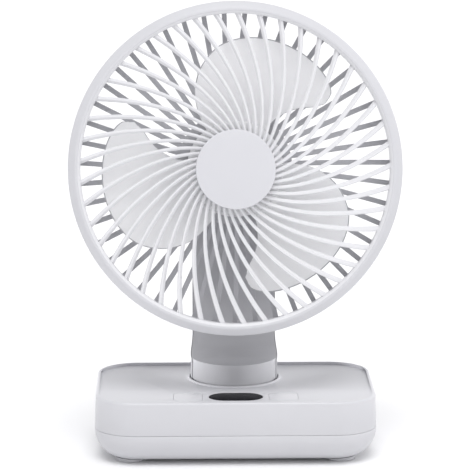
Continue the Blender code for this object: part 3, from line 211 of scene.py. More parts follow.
def moveTo(ob, matrix):  # puts a piece drawn at the origin in its place, in its mesh
    makeActive(ob)
    ob.matrix_world = matrix @ ob.matrix_world
    bpy.ops.object.transform_apply(location=True, rotation=True, scale=True)
    return ob


def smooth(ob, angle=32):
    makeActive(ob)
    bpy.ops.object.shade_smooth_by_angle(angle=math.radians(angle))
    return ob


def roundEdges(ob, width, test, segments=3):  # bevels the sharp edges that pass the test
    makeActive(ob)
    editMode()
    pick(ob, "EDGE", lambda e: len(e.link_faces) == 2 and e.calc_face_angle(0) > 0.6 and test(e))
    bpy.ops.mesh.bevel(offset=width, segments=segments, profile=0.5, affect="EDGES", clamp_overlap=True)
    objectMode()
    return ob


def settle(ob, body, slot, finish, *replaced):  # a finished piece gets its finish, body and CAD nodes
    ob.data.materials.clear()
    ob.data.materials.append(finish)
    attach(ob, body)
    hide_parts(*replaced)
    print("made", ob.name, len(ob.data.polygons), "faces")


def secondFinish(ob, finish, test):  # gives the faces that pass the test another finish
    ob.data.materials.append(finish)
    for face in ob.data.polygons:
        if test(face):
            face.material_index = 1


# Finishes

def finishOf(name, tones, rough, grain, bump=(0.05, 0.05), metallic=0.0, pattern="noise", stretch=(1, 1, 1),
             coat=0.0, soft=0.0, specular=0.5):
    # tones run from the darker to the lighter; grain is (large, fine) in features to a metre
    made = bpy.data.materials.new(name)
    made.use_nodes = True
    tree = made.node_tree
    shader = tree.nodes["Principled BSDF"]
    shader.inputs["Metallic"].default_value = metallic
    shader.inputs["Coat Weight"].default_value = coat
    shader.inputs["Subsurface Weight"].default_value = soft
    shader.inputs["Subsurface Radius"].default_value = (1, 1, 1)
    shader.inputs["Subsurface Scale"].default_value = 4 * mm
    shader.inputs["Specular IOR Level"].default_value = specular
    place = tree.nodes.new("ShaderNodeTexCoord")
    mapping = tree.nodes.new("ShaderNodeMapping")
    mapping.inputs["Scale"].default_value = stretch
    tree.links.new(place.outputs["Object"], mapping.inputs["Vector"])

    def texture(kind, **values):
        node = tree.nodes.new(kind)
        for key, value in values.items():
            node.inputs[key.replace("_", " ")].default_value = value
        tree.links.new(mapping.outputs["Vector"], node.inputs["Vector"])
        return node

    if pattern == "wave":
        large = texture("ShaderNodeTexWave", Scale=grain[0], Distortion=0.6, Detail=2.0)
        large.bands_direction = "Z"
    elif pattern == "tracks":
        large = texture("ShaderNodeTexVoronoi", Scale=grain[0])
        large.distance = "CHEBYCHEV"
    else:
        large = texture("ShaderNodeTexNoise", Scale=grain[0], Detail=4.0, Roughness=0.55)
    spread = large.outputs["Distance"] if pattern == "tracks" else large.outputs["Fac"]
    fine = texture("ShaderNodeTexNoise", Scale=grain[1], Detail=3.0, Roughness=0.6)

    ramp = tree.nodes.new("ShaderNodeValToRGB")
    ramp.color_ramp.elements[0].position = 0.3
    ramp.color_ramp.elements[1].position = 0.7
    ramp.color_ramp.elements[0].color = (*tones[0], 1)
    ramp.color_ramp.elements[1].color = (*tones[1], 1)
    tree.links.new(spread, ramp.inputs["Fac"])
    tree.links.new(ramp.outputs["Color"], shader.inputs["Base Color"])

    span = tree.nodes.new("ShaderNodeMapRange")
    span.inputs["To Min"].default_value = rough[0]
    span.inputs["To Max"].default_value = rough[1]
    tree.links.new(fine.outputs["Fac"], span.inputs["Value"])
    tree.links.new(span.outputs["Result"], shader.inputs["Roughness"])

    relief = tree.nodes.new("ShaderNodeBump")
    relief.inputs["Strength"].default_value = bump[0]
    relief.inputs["Distance"].default_value = bump[1] * mm
    tree.links.new(fine.outputs["Fac"], relief.inputs["Height"])
    tree.links.new(relief.outputs["Normal"], shader.inputs["Normal"])
    return made


finishes = {
    "shellWhite": finishOf("moulded white shell", ((0.57, 0.57, 0.595), (0.59, 0.59, 0.615)), (0.34, 0.48),
                           (14, 2600), (0.12, 0.04)),
    "capWhite": finishOf("satin white cap", ((0.605, 0.605, 0.635), (0.62, 0.62, 0.65)), (0.38, 0.5),
                         (18, 2600), (0.1, 0.03)),
    # a lighter copy of the ring's white for the spokes and the ring's inner lip: painted highlight where
    # light falls on them
    "spokeWhitePaintedHighlight": finishOf("glossy white cage painted highlight", ((0.70, 0.70, 0.72), (0.72, 0.72, 0.74)), (0.26, 0.36),
                           (20, 1800), (0.08, 0.03), specular=0.2),
    "ringWhite": finishOf("satin white ring", ((0.585, 0.585, 0.61), (0.605, 0.605, 0.63)), (0.3, 0.4),
                           (16, 1800), (0.08, 0.03), specular=0.2),
    "rearGrey": finishOf("pale grey rear cage", ((0.455, 0.455, 0.48), (0.485, 0.485, 0.51)), (0.36, 0.5),
                         (20, 1800), (0.08, 0.03)),
    "neckGrey": finishOf("cool grey neck", ((0.445, 0.445, 0.465), (0.47, 0.47, 0.49)), (0.32, 0.44),
                         (16, 2600), (0.12, 0.04)),
    "bladeWhite": finishOf("milky blade", ((0.86, 0.86, 0.88), (0.90, 0.90, 0.91)), (0.24, 0.34), (26, 1500),
                           (0.06, 0.03), soft=0.7),
    # a darker copy of the blade's milky white: painted shade for the shaded edge walls of the blades
    "bladeEdgeShade": finishOf("blade edge painted shade", ((0.42, 0.42, 0.44), (0.48, 0.48, 0.50)), (0.3, 0.4), (26, 1500),
                          (0.06, 0.03)),
    "keyWhite": finishOf("touch key white", ((0.57, 0.57, 0.595), (0.59, 0.59, 0.615)), (0.28, 0.36),
                         (40, 3000), (0.1, 0.03)),
    "lensBlack": finishOf("smoked lens", ((0.006, 0.006, 0.008), (0.012, 0.012, 0.015)), (0.22, 0.3),
                          (60, 900), (0.02, 0.02), specular=0.02),
    "silicone": finishOf("pale silicone", ((0.50, 0.50, 0.52), (0.58, 0.58, 0.60)), (0.62, 0.78),
                         (160, 2400), (0.25, 0.06)),
    "steel": finishOf("turned steel", ((0.50, 0.50, 0.52), (0.64, 0.64, 0.66)), (0.22, 0.42), (300, 2600),
                      (0.15, 0.03), metallic=1.0, stretch=(1, 1, 6)),
    "brass": finishOf("drawn brass", ((0.60, 0.42, 0.16), (0.72, 0.53, 0.24)), (0.24, 0.4), (260, 2200),
                      (0.12, 0.03), metallic=1.0, stretch=(1, 6, 1)),
    "stator": finishOf("laminated iron", ((0.16, 0.15, 0.15), (0.36, 0.33, 0.31)), (0.35, 0.55), (520, 2400),
                       (0.2, 0.05), metallic=0.7, pattern="wave"),
    "magnet": finishOf("sintered magnet", ((0.035, 0.034, 0.036), (0.075, 0.073, 0.075)), (0.5, 0.7),
                       (420, 3000), (0.3, 0.06)),
    "nylon": finishOf("natural nylon", ((0.68, 0.66, 0.60), (0.78, 0.76, 0.70)), (0.4, 0.55), (90, 2000),
                      (0.15, 0.05)),
    "boardGreen": finishOf("printed board", ((0.012, 0.085, 0.035), (0.03, 0.16, 0.07)), (0.3, 0.5),
                           (420, 2600), (0.2, 0.05), pattern="tracks"),
    "darkPlastic": finishOf("dark moulded frame", ((0.03, 0.03, 0.033), (0.05, 0.05, 0.054)), (0.45, 0.6),
                            (70, 2400), (0.2, 0.05)),
    "cellWrap": finishOf("shrink wrap", ((0.03, 0.12, 0.26), (0.05, 0.17, 0.34)), (0.25, 0.4), (60, 1600),
                         (0.15, 0.05), coat=0.3),
    "cable": finishOf("cable jacket", ((0.02, 0.02, 0.021), (0.035, 0.035, 0.037)), (0.5, 0.65), (300, 2600),
                      (0.3, 0.06)),
}
print("finishes:", len(finishes))


# Studio: camera, pale floor, soft light

studio = {"camera": (-0.0338, -1.4996, 0.4092), "pitchDown": 11.0884, "turn": -1.3, "sensor": 36,
          "focal": 220.3, "floorSize": 30,
          "sky": 1.08, "skyUp": -0.4, "skyRight": 0.25, "skyBehind": 0.08, "keyLight": 1.55, "keySpread": 34,
          "keyPlace": (-0.05, -0.75, 1.7), "keyTarget": (0, 0, 0.1),
          "sideLeft": 0.023, "sideRight": 0.014, "sideSize": 0.06, "sideSpread": 8, "sideBehind": 0.08,
          "sideAway": 0.8, "sideHeight": 0.085, "sideTarget": (0, 0.014, 0.065)}
clearSelection()
bpy.ops.object.camera_add(location=studio["camera"],
                          rotation=(math.radians(90 - studio["pitchDown"]), 0, math.radians(studio["turn"])))
camera = nameIt("camera")
camera.data.sensor_width = studio["sensor"]
camera.data.lens = studio["focal"]
camera.data.clip_end = 100
bpy.context.scene.camera = camera
bpy.context.scene.view_settings.view_transform = "Standard"

# The room is a little brighter low down, where the pale floor is, and to the right
world = bpy.data.worlds.new("studio")
bpy.context.scene.world = world
world.use_nodes = True
sky = world.node_tree
background = sky.nodes["Background"]
background.inputs["Color"].default_value = (0.985, 0.985, 1.0, 1)
direction = sky.nodes.new("ShaderNodeTexCoord")
parts = sky.nodes.new("ShaderNodeSeparateXYZ")
sky.links.new(direction.outputs["Generated"], parts.inputs["Vector"])
level = None
for axis, amount in (("Z", "skyUp"), ("X", "skyRight"), ("Y", "skyBehind")):
    mix = sky.nodes.new("ShaderNodeMath")
    mix.operation = "MULTIPLY_ADD"
    sky.links.new(parts.outputs[axis], mix.inputs[0])
    mix.inputs[1].default_value = studio[amount]
    mix.inputs[2].default_value = studio["sky"]
    if level:
        sky.links.new(level, mix.inputs[2])
    level = mix.outputs["Value"]
sky.links.new(level, background.inputs["Strength"])


def aimedLight(name, kind, place, target):
    clearSelection()
    aim = (Vector(target) - Vector(place)).to_track_quat("-Z", "Y").to_euler()
    bpy.ops.object.light_add(type=kind, location=place, rotation=aim)
    light = nameIt(name)
    light.data.energy = studio[name]
    return light


keyLight = aimedLight("keyLight", "SUN", studio["keyPlace"], studio["keyTarget"])
keyLight.data.angle = math.radians(studio["keySpread"])
for name, side in (("sideLeft", -1), ("sideRight", 1)):  # narrow, only for the neck, with no glare
    place = (side * studio["sideAway"], studio["sideBehind"], studio["sideHeight"])
    wash = aimedLight(name, "AREA", place, studio["sideTarget"])
    wash.data.size = studio["sideSize"]
    wash.data.spread = math.radians(studio["sideSpread"])
    wash.visible_glossy = False

clearSelection()
bpy.ops.mesh.primitive_grid_add(x_subdivisions=2, y_subdivisions=2, size=studio["floorSize"])
floor = nameIt("floor")
floor.data.materials.append(finishOf("studio floor", ((0.90, 0.90, 0.905), (0.92, 0.92, 0.925)), (0.8, 0.9),
                                     (2, 40), (0.0, 0.0), specular=0.2))
print("studio set")


# Base

shellLow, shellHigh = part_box("base_lower_shell")[0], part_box("base_upper_shell")[1]
base = {"width": 149 * mm, "depth": 93 * mm, "bottom": shellLow.z, "top": shellHigh.z,
        "corner": 22 * mm, "belly": 15 * mm, "wall": 2 * mm, "seam": 17.3 * mm, "gap": 0.06 * mm,
        "draft": 0.6 * mm, "rim": 1.8 * mm, "rimEdge": 1.25 * mm, "rimStep": 0.05 * mm, "rimLean": 0.4,
        "dishFront": 0.4 * mm, "dishBack": 1.8 * mm, "deckWall": 1.5 * mm, "cornerSteps": 20,
        "bellySteps": 10, "panelY": -30 * mm, "outerBand": 1.2 * mm, "wellRadius": 2.9 * mm}
base["underside"] = base["top"] - base["dishBack"] - base["deckWall"]
neckY = 14 * mm


def deckHeight(y):
    inner = base["depth"] / 2 - base["rim"]
    share = (y + inner) / (2 * inner)
    return base["top"] - base["dishFront"] - (base["dishBack"] - base["dishFront"]) * share


def roundedBlock(name, inset, low, high):  # the base's box: round corners, round belly, slight draft
    ob = block(name, (inset - base["width"] / 2, inset - base["depth"] / 2, low),
               (base["width"] / 2 - inset, base["depth"] / 2 - inset, high))
    editMode()
    pick(ob, "EDGE", lambda e: abs(e.verts[0].co.z - e.verts[1].co.z) > (high - low) / 2)
    bpy.ops.mesh.bevel(offset=base["corner"] - inset, segments=base["cornerSteps"], profile=0.5,
                       affect="EDGES", clamp_overlap=False)
    pick(ob, "EDGE", lambda e: allBetween(e, low - mm, low + 0.1 * mm))
    bpy.ops.mesh.bevel(offset=base["belly"] - inset, segments=base["bellySteps"], profile=0.5,
                       affect="EDGES", clamp_overlap=False)
    pick(ob, "VERT", lambda v: v.co.z > high - 0.1 * mm)
    rise = (high - base["seam"]) / (base["top"] - base["seam"])
    bpy.ops.transform.resize(value=(1 - 2 * base["draft"] * rise / base["width"],
                                    1 - 2 * base["draft"] * rise / base["depth"], 1),
                             center_override=(0, 0, 0))
    objectMode()
    return ob


def dishedBlock():  # the whole base as one solid, with its dished deck
    ob = roundedBlock("baseSolid", 0, base["bottom"], base["top"])
    editMode()
    pick(ob, "FACE", lambda f: f.normal.z > 0.9 and middleOf(f).z > base["top"] - 0.1 * mm)
    bpy.ops.mesh.inset(thickness=base["rim"], depth=0)
    bpy.ops.mesh.inset(thickness=base["rimStep"], depth=0)
    work = bmesh.from_edit_mesh(ob.data)
    straight = (base["width"] / 2 - base["corner"], base["depth"] / 2 - base["corner"])
    for v in [v for v in work.verts if v.select]:  # the wall leans in under the rim, more where it's taller
        depth = base["top"] - deckHeight(v.co.y)
        middle = Vector([max(-s, min(s, c)) for s, c in zip(straight, v.co)])
        v.co += (v.co.xy - middle).normalized().to_3d() * depth * base["rimLean"]
        v.co.z = base["top"] - depth
    bmesh.update_edit_mesh(ob.data)

    def rimEdge(e):
        if len(e.link_faces) != 2 or not allBetween(e, base["top"] - 0.01 * mm, base["top"] + mm):
            return False
        return min(abs(f.normal.z) for f in e.link_faces) < 0.5
    pick(ob, "EDGE", rimEdge)
    bpy.ops.mesh.bevel(offset=base["rimEdge"], segments=5, profile=0.5, affect="EDGES", clamp_overlap=False)
    objectMode()
    return ob


def seamEdge(e, height):  # the outer edge of a shell at the seam
    place = middleOf(e)
    outside = (abs(place.x) > base["width"] / 2 - base["outerBand"]
               or abs(place.y) > base["depth"] / 2 - base["outerBand"])
    corner = Vector((abs(place.x) - base["width"] / 2 + base["corner"],
                     abs(place.y) - base["depth"] / 2 + base["corner"]))
    onCorner = min(corner) > 0 and corner.length > base["corner"] - base["outerBand"]
    return abs(place.z - height) < 0.01 * mm and (outside or onCorner)


panel = {"keyX": 25.1 * mm, "keySize": (15.2 * mm, 16.3 * mm), "keyCorner": 2.7 * mm, "keyGap": 0.09 * mm,
         "keyProud": 0.04 * mm, "lip": 0.9 * mm, "lipHeight": 1.2 * mm, "lensSize": (28.5 * mm, 17.6 * mm),
         "lensGap": 0.15 * mm, "lensThick": 2 * mm}

solid = dishedBlock()
combine(solid, "DIFFERENCE", roundedBlock("hollow", base["wall"], base["bottom"] + base["wall"],
                                          base["underside"]))
makeActive(solid)
bpy.ops.object.duplicate()
baseLower = nameIt("baseLower")
baseUpper = solid
baseUpper.name = baseUpper.data.name = "baseUpper"
wide = base["width"]
above, below = base["seam"] + base["gap"], base["seam"] - base["gap"]
combine(baseUpper, "INTERSECT", block("above", (-wide, -wide, above), (wide, wide, wide)))
combine(baseLower, "INTERSECT", block("below", (-wide, -wide, -wide), (wide, wide, below)))
for shell, height in ((baseUpper, above), (baseLower, below)):
    roundEdges(shell, 0.2 * mm, lambda e: seamEdge(e, height), 2)

# The collar rises out of the deck in a soft flare, and below it hangs the cup that carries the neck
collar = {"inner": 23.8 * mm, "lipTop": 35.05 * mm, "lipOut": 25.1 * mm, "flareTop": 34.1 * mm,
          "flareOut": 31 * mm, "flareLow": 32.9 * mm, "flareFoot": 32.2 * mm, "flareSteps": 8,
          "cup": 26.6 * mm, "cupTop": 28.6 * mm, "cupBottom": 26.6 * mm, "spigot": 13.3 * mm,
          "mouth": 25.6 * mm, "sides": 96}
flare = []
for k in range(collar["flareSteps"] + 1):
    share = k / collar["flareSteps"]
    flare.append((collar["lipOut"] + (collar["flareOut"] - collar["lipOut"]) * share,
                  collar["flareLow"] + (collar["flareTop"] - collar["flareLow"]) * (1 - share) ** 2))
collarRing = turned("collar", [
    (collar["spigot"], collar["cupBottom"]), (collar["spigot"], collar["cupTop"]),
    (collar["inner"], collar["cupTop"]), (collar["inner"], collar["lipTop"], 0.45 * mm),
    (collar["lipOut"], collar["lipTop"], 0.55 * mm), *flare,
    (collar["flareOut"], collar["flareFoot"]), (collar["cup"], collar["flareFoot"]),
    (collar["cup"], collar["cupBottom"])], collar["sides"])
moveTo(collarRing, Matrix.Translation((0, neckY, 0)))
combine(baseUpper, "DIFFERENCE",
        bar("mouth", collar["mouth"], 0, 0.1, place=(0, neckY), sides=collar["sides"]))
combine(baseUpper, "UNION", collarRing)
size = [s + 2 * panel["keyGap"] for s in panel["keySize"]]
corner = panel["keyCorner"] + panel["keyGap"]
for side in (-1, 1):
    hole = roundedBar("keyHole", size, corner, 30 * mm, 40 * mm, (side * panel["keyX"], base["panelY"]))
    combine(baseUpper, "DIFFERENCE", hole)
size = [s + 2 * panel["lensGap"] for s in panel["lensSize"]]
hole = roundedBar("lensHole", size, size[1] / 2 - 0.02 * mm, 30 * mm, 40 * mm, (0, base["panelY"]), 16)
combine(baseUpper, "DIFFERENCE", hole)


def openingEdge(e):  # the edges of the key and lens openings at the deck's surface
    place = middleOf(e)
    onDeck = abs(place.z - deckHeight(place.y)) < 0.05 * mm
    return onDeck and abs(place.x) < 36 * mm and abs(place.y - base["panelY"]) < 10 * mm


roundEdges(baseUpper, 0.18 * mm, openingEdge, 2)
smooth(baseUpper)
settle(baseUpper, "base", "shell_white", finishes["shellWhite"], "base_upper_shell")

# Lower shell: the charging socket's mouth and the wells over the base screws
socketLow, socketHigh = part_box("charging_socket")
socketMiddle = (socketLow + socketHigh) / 2
mouth = roundedBar("socketHole", (9.5 * mm, 3.8 * mm), 1.88 * mm, -10 * mm, 10 * mm)
moveTo(mouth, Matrix.Translation((0, 50 * mm, socketMiddle.z)) @ Matrix.Rotation(math.pi / 2, 4, "X"))
combine(baseLower, "DIFFERENCE", mouth)
feet = {"x": 55.5 * mm, "y": 27 * mm, "radius": 8 * mm, "height": 4 * mm, "edge": 0.5 * mm, "sides": 40}
footPlaces = [("Front", "Left", -1, -1), ("Front", "Right", 1, -1), ("Rear", "Left", -1, 1),
              ("Rear", "Right", 1, 1)]
for end, side, sx, sy in footPlaces:
    well = bar("well", base["wellRadius"], 0, 8 * mm, place=(sx * feet["x"], sy * feet["y"]), sides=32)
    combine(baseLower, "DIFFERENCE", well)
smooth(baseLower)
settle(baseLower, "base", "shell_white", finishes["shellWhite"], "base_lower_shell")

belly = roundedBlock("belly", -0.3 * mm, base["bottom"] - 0.3 * mm, base["top"])
for end, side, sx, sy in footPlaces:
    foot = turned("foot" + end + side, [
        (0, 0), (feet["radius"] - 2.2 * mm, 0), (feet["radius"] - 1.7 * mm, 0.25 * mm),
        (feet["radius"], 0, feet["edge"]), (feet["radius"], feet["height"]), (0, feet["height"])],
        feet["sides"], False)
    moveTo(foot, Matrix.Translation((sx * feet["x"], sy * feet["y"], 0)))
    makeActive(belly)
    bpy.ops.object.duplicate()
    combine(foot, "DIFFERENCE", nameIt("bellyCut"))
    smooth(foot)
    settle(foot, "base", "silicone", finishes["silicone"], f"foot_{end.lower()}_{side.lower()}")
bpy.data.objects.remove(belly)

# Keys and lens
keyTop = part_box("key_power")[1].z
lipTop = base["underside"] - 0.3 * mm
lipSize = [s + 2 * panel["lip"] - 0.3 * mm for s in panel["keySize"]]
for name, node, side in (("powerKey", "key_power", -1), ("swingKey", "key_swing", 1)):
    key = roundedBar(name, lipSize, panel["keyCorner"] + panel["lip"], lipTop - panel["lipHeight"], lipTop,
                     (side * panel["keyX"], base["panelY"]))
    editMode()
    pick(key, "FACE", lambda f: f.normal.z > 0.9)
    bpy.ops.mesh.inset(thickness=panel["lip"] - 0.15 * mm, depth=0)
    bpy.ops.mesh.extrude_region_move(TRANSFORM_OT_translate={"value": (0, 0, keyTop - lipTop)})
    work = bmesh.from_edit_mesh(key.data)
    for v in [v for v in work.verts if v.select]:  # the key's top lies along the deck
        v.co.z = deckHeight(v.co.y) + panel["keyProud"]
    bmesh.update_edit_mesh(key.data)
    pick(key, "EDGE", lambda e: allBetween(e, lipTop + mm, keyTop + mm))
    bpy.ops.mesh.bevel(offset=0.22 * mm, segments=3, profile=0.5, affect="EDGES", clamp_overlap=True)
    objectMode()
    smooth(key)
    settle(key, node, "shell_white", finishes["keyWhite"], node)

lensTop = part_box("display_lens")[1].z
lens = roundedBar("displayLens", panel["lensSize"], panel["lensSize"][1] / 2 - 0.02 * mm,
                  lensTop - panel["lensThick"], lensTop, (0, base["panelY"]), 18)
roundEdges(lens, 0.2 * mm, lambda e: allBetween(e, lensTop - 0.01 * mm, lensTop + mm), 3)
smooth(lens)
settle(lens, "base", "lens_black", finishes["lensBlack"], "display_lens")


# Neck

hingeLow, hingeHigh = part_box("tilt_pin")
hinge = (hingeLow + hingeHigh) / 2
neck = {"radius": 23.4 * mm, "cover": 23.0 * mm, "bore": 21 * mm, "wall": 2 * mm,
        "foot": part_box("neck_front_cover")[0].z, "ledge": 46 * mm, "scoopBack": 21 * mm,
        "scoopRadius": 12 * mm, "coverSeam": 8.6 * mm, "shoulder": 24 * mm, "shoulderLow": 112 * mm,
        "ear": 7 * mm, "earOuter": 16.5 * mm, "slotHalf": 11.4 * mm, "slotDepth": 8.5 * mm, "sides": 128,
        "gap": 0.3 * mm, "pinBore": 2.8 * mm}
neck["top"] = hinge.z + neck["ear"]
neck["split"] = hinge.z - neck["slotDepth"]


def neckOutline(inset):  # from the front: full width, then a smooth shoulder to the ears
    start, end = neck["radius"] - inset, neck["earOuter"] - inset
    side = [(neck["radius"] + 2 * mm, 0), (neck["radius"] + 2 * mm, neck["shoulderLow"])]
    for k in range(13):
        share = k / 12
        ease = share * share * (3 - 2 * share)
        side.append((start + (end - start) * ease, neck["shoulderLow"] + neck["shoulder"] * share))
    side.append((end, neck["top"] + mm))
    return [(x, -0.05, z) for x, z in side] + [(-x, -0.05, z) for x, z in reversed(side)]


def scoopLine(inset, top):  # the scoop from the side, from the ledge up the arm, moved into the neck
    wall = neck["scoopBack"] + inset
    bend = [(wall - neck["scoopRadius"] * (1 - math.sin(a)),
             neck["ledge"] - inset + neck["scoopRadius"] * (1 - math.cos(a)))
            for a in (math.radians(90 * k / 14) for k in range(15))]
    return [(neckY - neck["radius"] - mm, neck["ledge"] - inset)] + bend + [(wall, top)]


def neckTube(name, radius):
    tube = bar(name, radius, neck["foot"], neck["top"], place=(0, neckY), sides=neck["sides"])
    return combine(tube, "INTERSECT", plate("outline", neckOutline(0), (0, 0.15, 0)))


def sidePlate(name, line, half):  # an outline of (y, z) points, extruded along X
    return plate(name, [(-half, y, z) for y, z in line], (2 * half, 0, 0))


# The rear shell wraps round the edges of the front cover, which sits a little lower in it
seam = neck["coverSeam"] + neck["gap"]
coverBack = neck["wall"] + neck["gap"]
line = [(y, z) for y, z in scoopLine(0.1 * mm, neck["split"]) if y > seam]
profile = [(seam, 0), (seam, line[0][1])] + line + [(neck["scoopBack"], neck["split"])]
profile += [(hinge.y - neck["ear"] * math.cos(a), hinge.z + neck["ear"] * math.sin(a))
            for a in (math.pi * k / 24 for k in range(25))]
profile += [(0.05, hinge.z), (0.05, 0)]
neckShell = combine(neckTube("neckShell", neck["radius"]), "INTERSECT", sidePlate("rear", profile, 30 * mm))
seat = bar("coverSeat", neck["cover"] + neck["gap"], 0, 0.2, place=(0, neckY), sides=neck["sides"])
seatLine = scoopLine(coverBack, neck["split"])
combine(seat, "INTERSECT", sidePlate("front", seatLine + [(seatLine[0][0], neck["split"])], 30 * mm))
hollow = bar("hollow", neck["bore"], 0, neck["split"] - 6 * mm, place=(0, neckY), sides=neck["sides"])
combine(hollow, "INTERSECT", plate("outline", neckOutline(neck["wall"]), (0, 0.15, 0)))
combine(neckShell, "DIFFERENCE", seat)
combine(neckShell, "DIFFERENCE", hollow,
        block("slot", (-neck["slotHalf"], 0, neck["split"]), (neck["slotHalf"], 0.06, 0.2)),
        bar("bore", neck["pinBore"], -0.05, 0.05, "X", (hinge.y, hinge.z), 32),
        bar("capSeatLeft", 5.3 * mm, -0.05, -15.3 * mm, "X", (hinge.y, hinge.z)),
        bar("capSeatRight", 5.3 * mm, 15.3 * mm, 0.05, "X", (hinge.y, hinge.z)),
        bar("wireHole", 2 * mm, neck["split"] - 12 * mm, 0.2, place=(0, 33.1 * mm), sides=24))


def shellEdge(e):  # the ears, and the long front edges beside the cover
    place = middleOf(e)
    onTube = abs(math.hypot(place.x, place.y - neckY) - neck["radius"]) < 0.1 * mm
    beside = abs(place.y - seam) < 0.1 * mm and onTube
    return beside or (place.z > neck["split"] + mm and abs(place.x) > neck["slotHalf"] - 0.1 * mm)


roundEdges(neckShell, 0.3 * mm, shellEdge, 2)
smooth(neckShell)
settle(neckShell, "neck", "neck_grey", finishes["neckGrey"], "neck_rear_shell")

skinTop = neck["split"] - neck["gap"]
skin = scoopLine(0, skinTop) + scoopLine(neck["wall"], skinTop)[::-1]
neckCover = combine(neckTube("neckCover", neck["cover"]), "INTERSECT", sidePlate("skin", skin, 30 * mm))
bandTop = neck["ledge"] - mm
band = turned("band", [(neck["bore"], neck["foot"]), (neck["cover"], neck["foot"]), (neck["cover"], bandTop),
                       (neck["bore"], bandTop)], neck["sides"])
moveTo(band, Matrix.Translation((0, neckY, 0)))
combine(band, "INTERSECT", block("front", (-0.05, -0.05, 0), (0.05, neck["coverSeam"], 0.1)))
combine(neckCover, "UNION", band)


def scoopEdge(e):  # where the scoop's surface meets the outside of the tube
    place = middleOf(e)
    onTube = abs(math.hypot(place.x, place.y - neckY) - neck["cover"]) < 0.15 * mm
    onScoop = any(f.normal.y < -0.6 or f.normal.z > 0.6 for f in e.link_faces)
    return onTube and onScoop and place.z > neck["ledge"] - 0.1 * mm


roundEdges(neckCover, 0.3 * mm, scoopEdge, 3)
smooth(neckCover)
settle(neckCover, "neck", "neck_grey", finishes["neckGrey"], "neck_front_cover")

for name, side in (("hingeCapLeft", -1), ("hingeCapRight", 1)):
    cap = turned(name, [(0, 0), (5 * mm, 0), (5 * mm, 1.2 * mm, 0.3 * mm), (3.9 * mm, 1.2 * mm),
                        (3.6 * mm, 0.95 * mm), (0, 0.95 * mm)], 48, False)
    moveTo(cap, Matrix.Translation((side * 15.6 * mm, hinge.y, hinge.z)) @
           Matrix.Rotation(side * math.pi / 2, 4, "Y"))
    smooth(cap)
    settle(cap, "neck", "shell_white", finishes["shellWhite"], "hinge_cap_" + name[8:].lower())


# Head: its pieces are drawn lying flat round Z, then stood up on the fan's axis

head = {"forward": 42 * mm, "tilt": math.radians(8), "opening": 81 * mm, "lip": 1.3 * mm}
headPlace = (Matrix.Translation((0, hinge.y - head["forward"] * math.cos(head["tilt"]),
                                 hinge.z + head["forward"] * math.sin(head["tilt"])))
             @ Matrix.Rotation(math.pi / 2 - head["tilt"], 4, "X"))


def spokesRound(name, spoke, section):
    # one spoke, extruded step by step along its curve as it turns and grows, then repeated round Z
    def heightAt(r):
        share = max(0, (r - spoke["hub"]) / (head["opening"] - spoke["hub"]))
        return spoke["hubTop"] + (spoke["rimTop"] - spoke["hubTop"]) * share ** spoke["fall"]

    heading = math.atan(spoke["lean"]) + spoke["phase"]
    start = Vector((spoke["start"] * math.cos(spoke["phase"]), spoke["start"] * math.sin(spoke["phase"]),
                    heightAt(spoke["start"])))
    sideways = Vector((-math.sin(heading), math.cos(heading), 0))
    points = [start + sideways * u + Vector((0, 0, v)) for u, v in section]
    ob = drawLine(name, points)
    bpy.ops.mesh.select_all(action="SELECT")
    bpy.ops.mesh.edge_face_add()
    radius, turn, size = spoke["start"], spoke["phase"], 1
    for k in range(1, spoke["steps"] + 1):
        nextRadius = spoke["start"] + (spoke["end"] - spoke["start"]) * k / spoke["steps"]
        nextTurn = spoke["phase"] + spoke["lean"] * math.log(nextRadius / spoke["start"])
        nextSize = 1 + (spoke["growth"] - 1) * k / spoke["steps"]
        outwards = Vector((math.cos(nextTurn), math.sin(nextTurn), 0)) * (nextRadius - radius)
        bpy.ops.mesh.extrude_region_move(TRANSFORM_OT_translate={"value": (0, 0, 0)})
        turnSelection(nextTurn - turn)
        bpy.ops.transform.translate(value=outwards + Vector((0, 0, heightAt(nextRadius) - heightAt(radius))))
        centre = (nextRadius * math.cos(nextTurn), nextRadius * math.sin(nextTurn), heightAt(nextRadius))
        bpy.ops.transform.resize(value=(nextSize / size,) * 3, center_override=centre)
        radius, turn, size = nextRadius, nextTurn, nextSize
    bpy.ops.mesh.select_all(action="SELECT")
    bpy.ops.mesh.normals_make_consistent(inside=False)
    around = 2 * math.pi * (spoke["count"] - 1) / spoke["count"]
    bpy.ops.mesh.spin(steps=spoke["count"] - 1, dupli=True, angle=around, center=(0, 0, 0), axis=(0, 0, 1))
    objectMode()
    return ob


frontSpoke = {"count": 45, "start": 19 * mm, "end": 81.9 * mm, "hub": 20.6 * mm, "hubTop": 13.6 * mm,
              "rimTop": 7.8 * mm, "fall": 1.6, "lean": 0.465, "phase": math.radians(2.4), "growth": 1.7,
              "steps": 16}
frontSection = [(-0.80 * mm, -0.25 * mm), (-0.60 * mm, 0), (0.05 * mm, 0), (0.80 * mm, -0.75 * mm),
                (0.80 * mm, -1.1 * mm), (0.30 * mm, -2.2 * mm), (-0.30 * mm, -2.2 * mm),
                (-0.80 * mm, -1.1 * mm)]
frontGrille = spokesRound("frontGrille", frontSpoke, frontSection)
rim = turned("rim", [
    (85.5 * mm, 0), (85.5 * mm, 6.6 * mm, 0.8 * mm), (82.9 * mm, 7.4 * mm), (82.6 * mm, 1.5 * mm),
    (81.0 * mm, 1.5 * mm), (81.0 * mm, 8.5 * mm, 0.8 * mm), (82.5 * mm, 10 * mm, 0.8 * mm),
    (83.7 * mm, 10 * mm, 1.6 * mm), (87.5 * mm, 6.8 * mm, 2 * mm), (87.5 * mm, 0)], 180, arcSteps=6)
hubPlate = turned("hubPlate", [(0, 12.6 * mm), (20.6 * mm, 12.6 * mm), (20.6 * mm, 15.2 * mm, 0.5 * mm),
                               (0, 15.2 * mm)], 135, False)
combine(frontGrille, "UNION", rim, hubPlate)
moveTo(frontGrille, headPlace)
smooth(frontGrille)
settle(frontGrille, "head", "shell_white", finishes["ringWhite"], "front_grille")
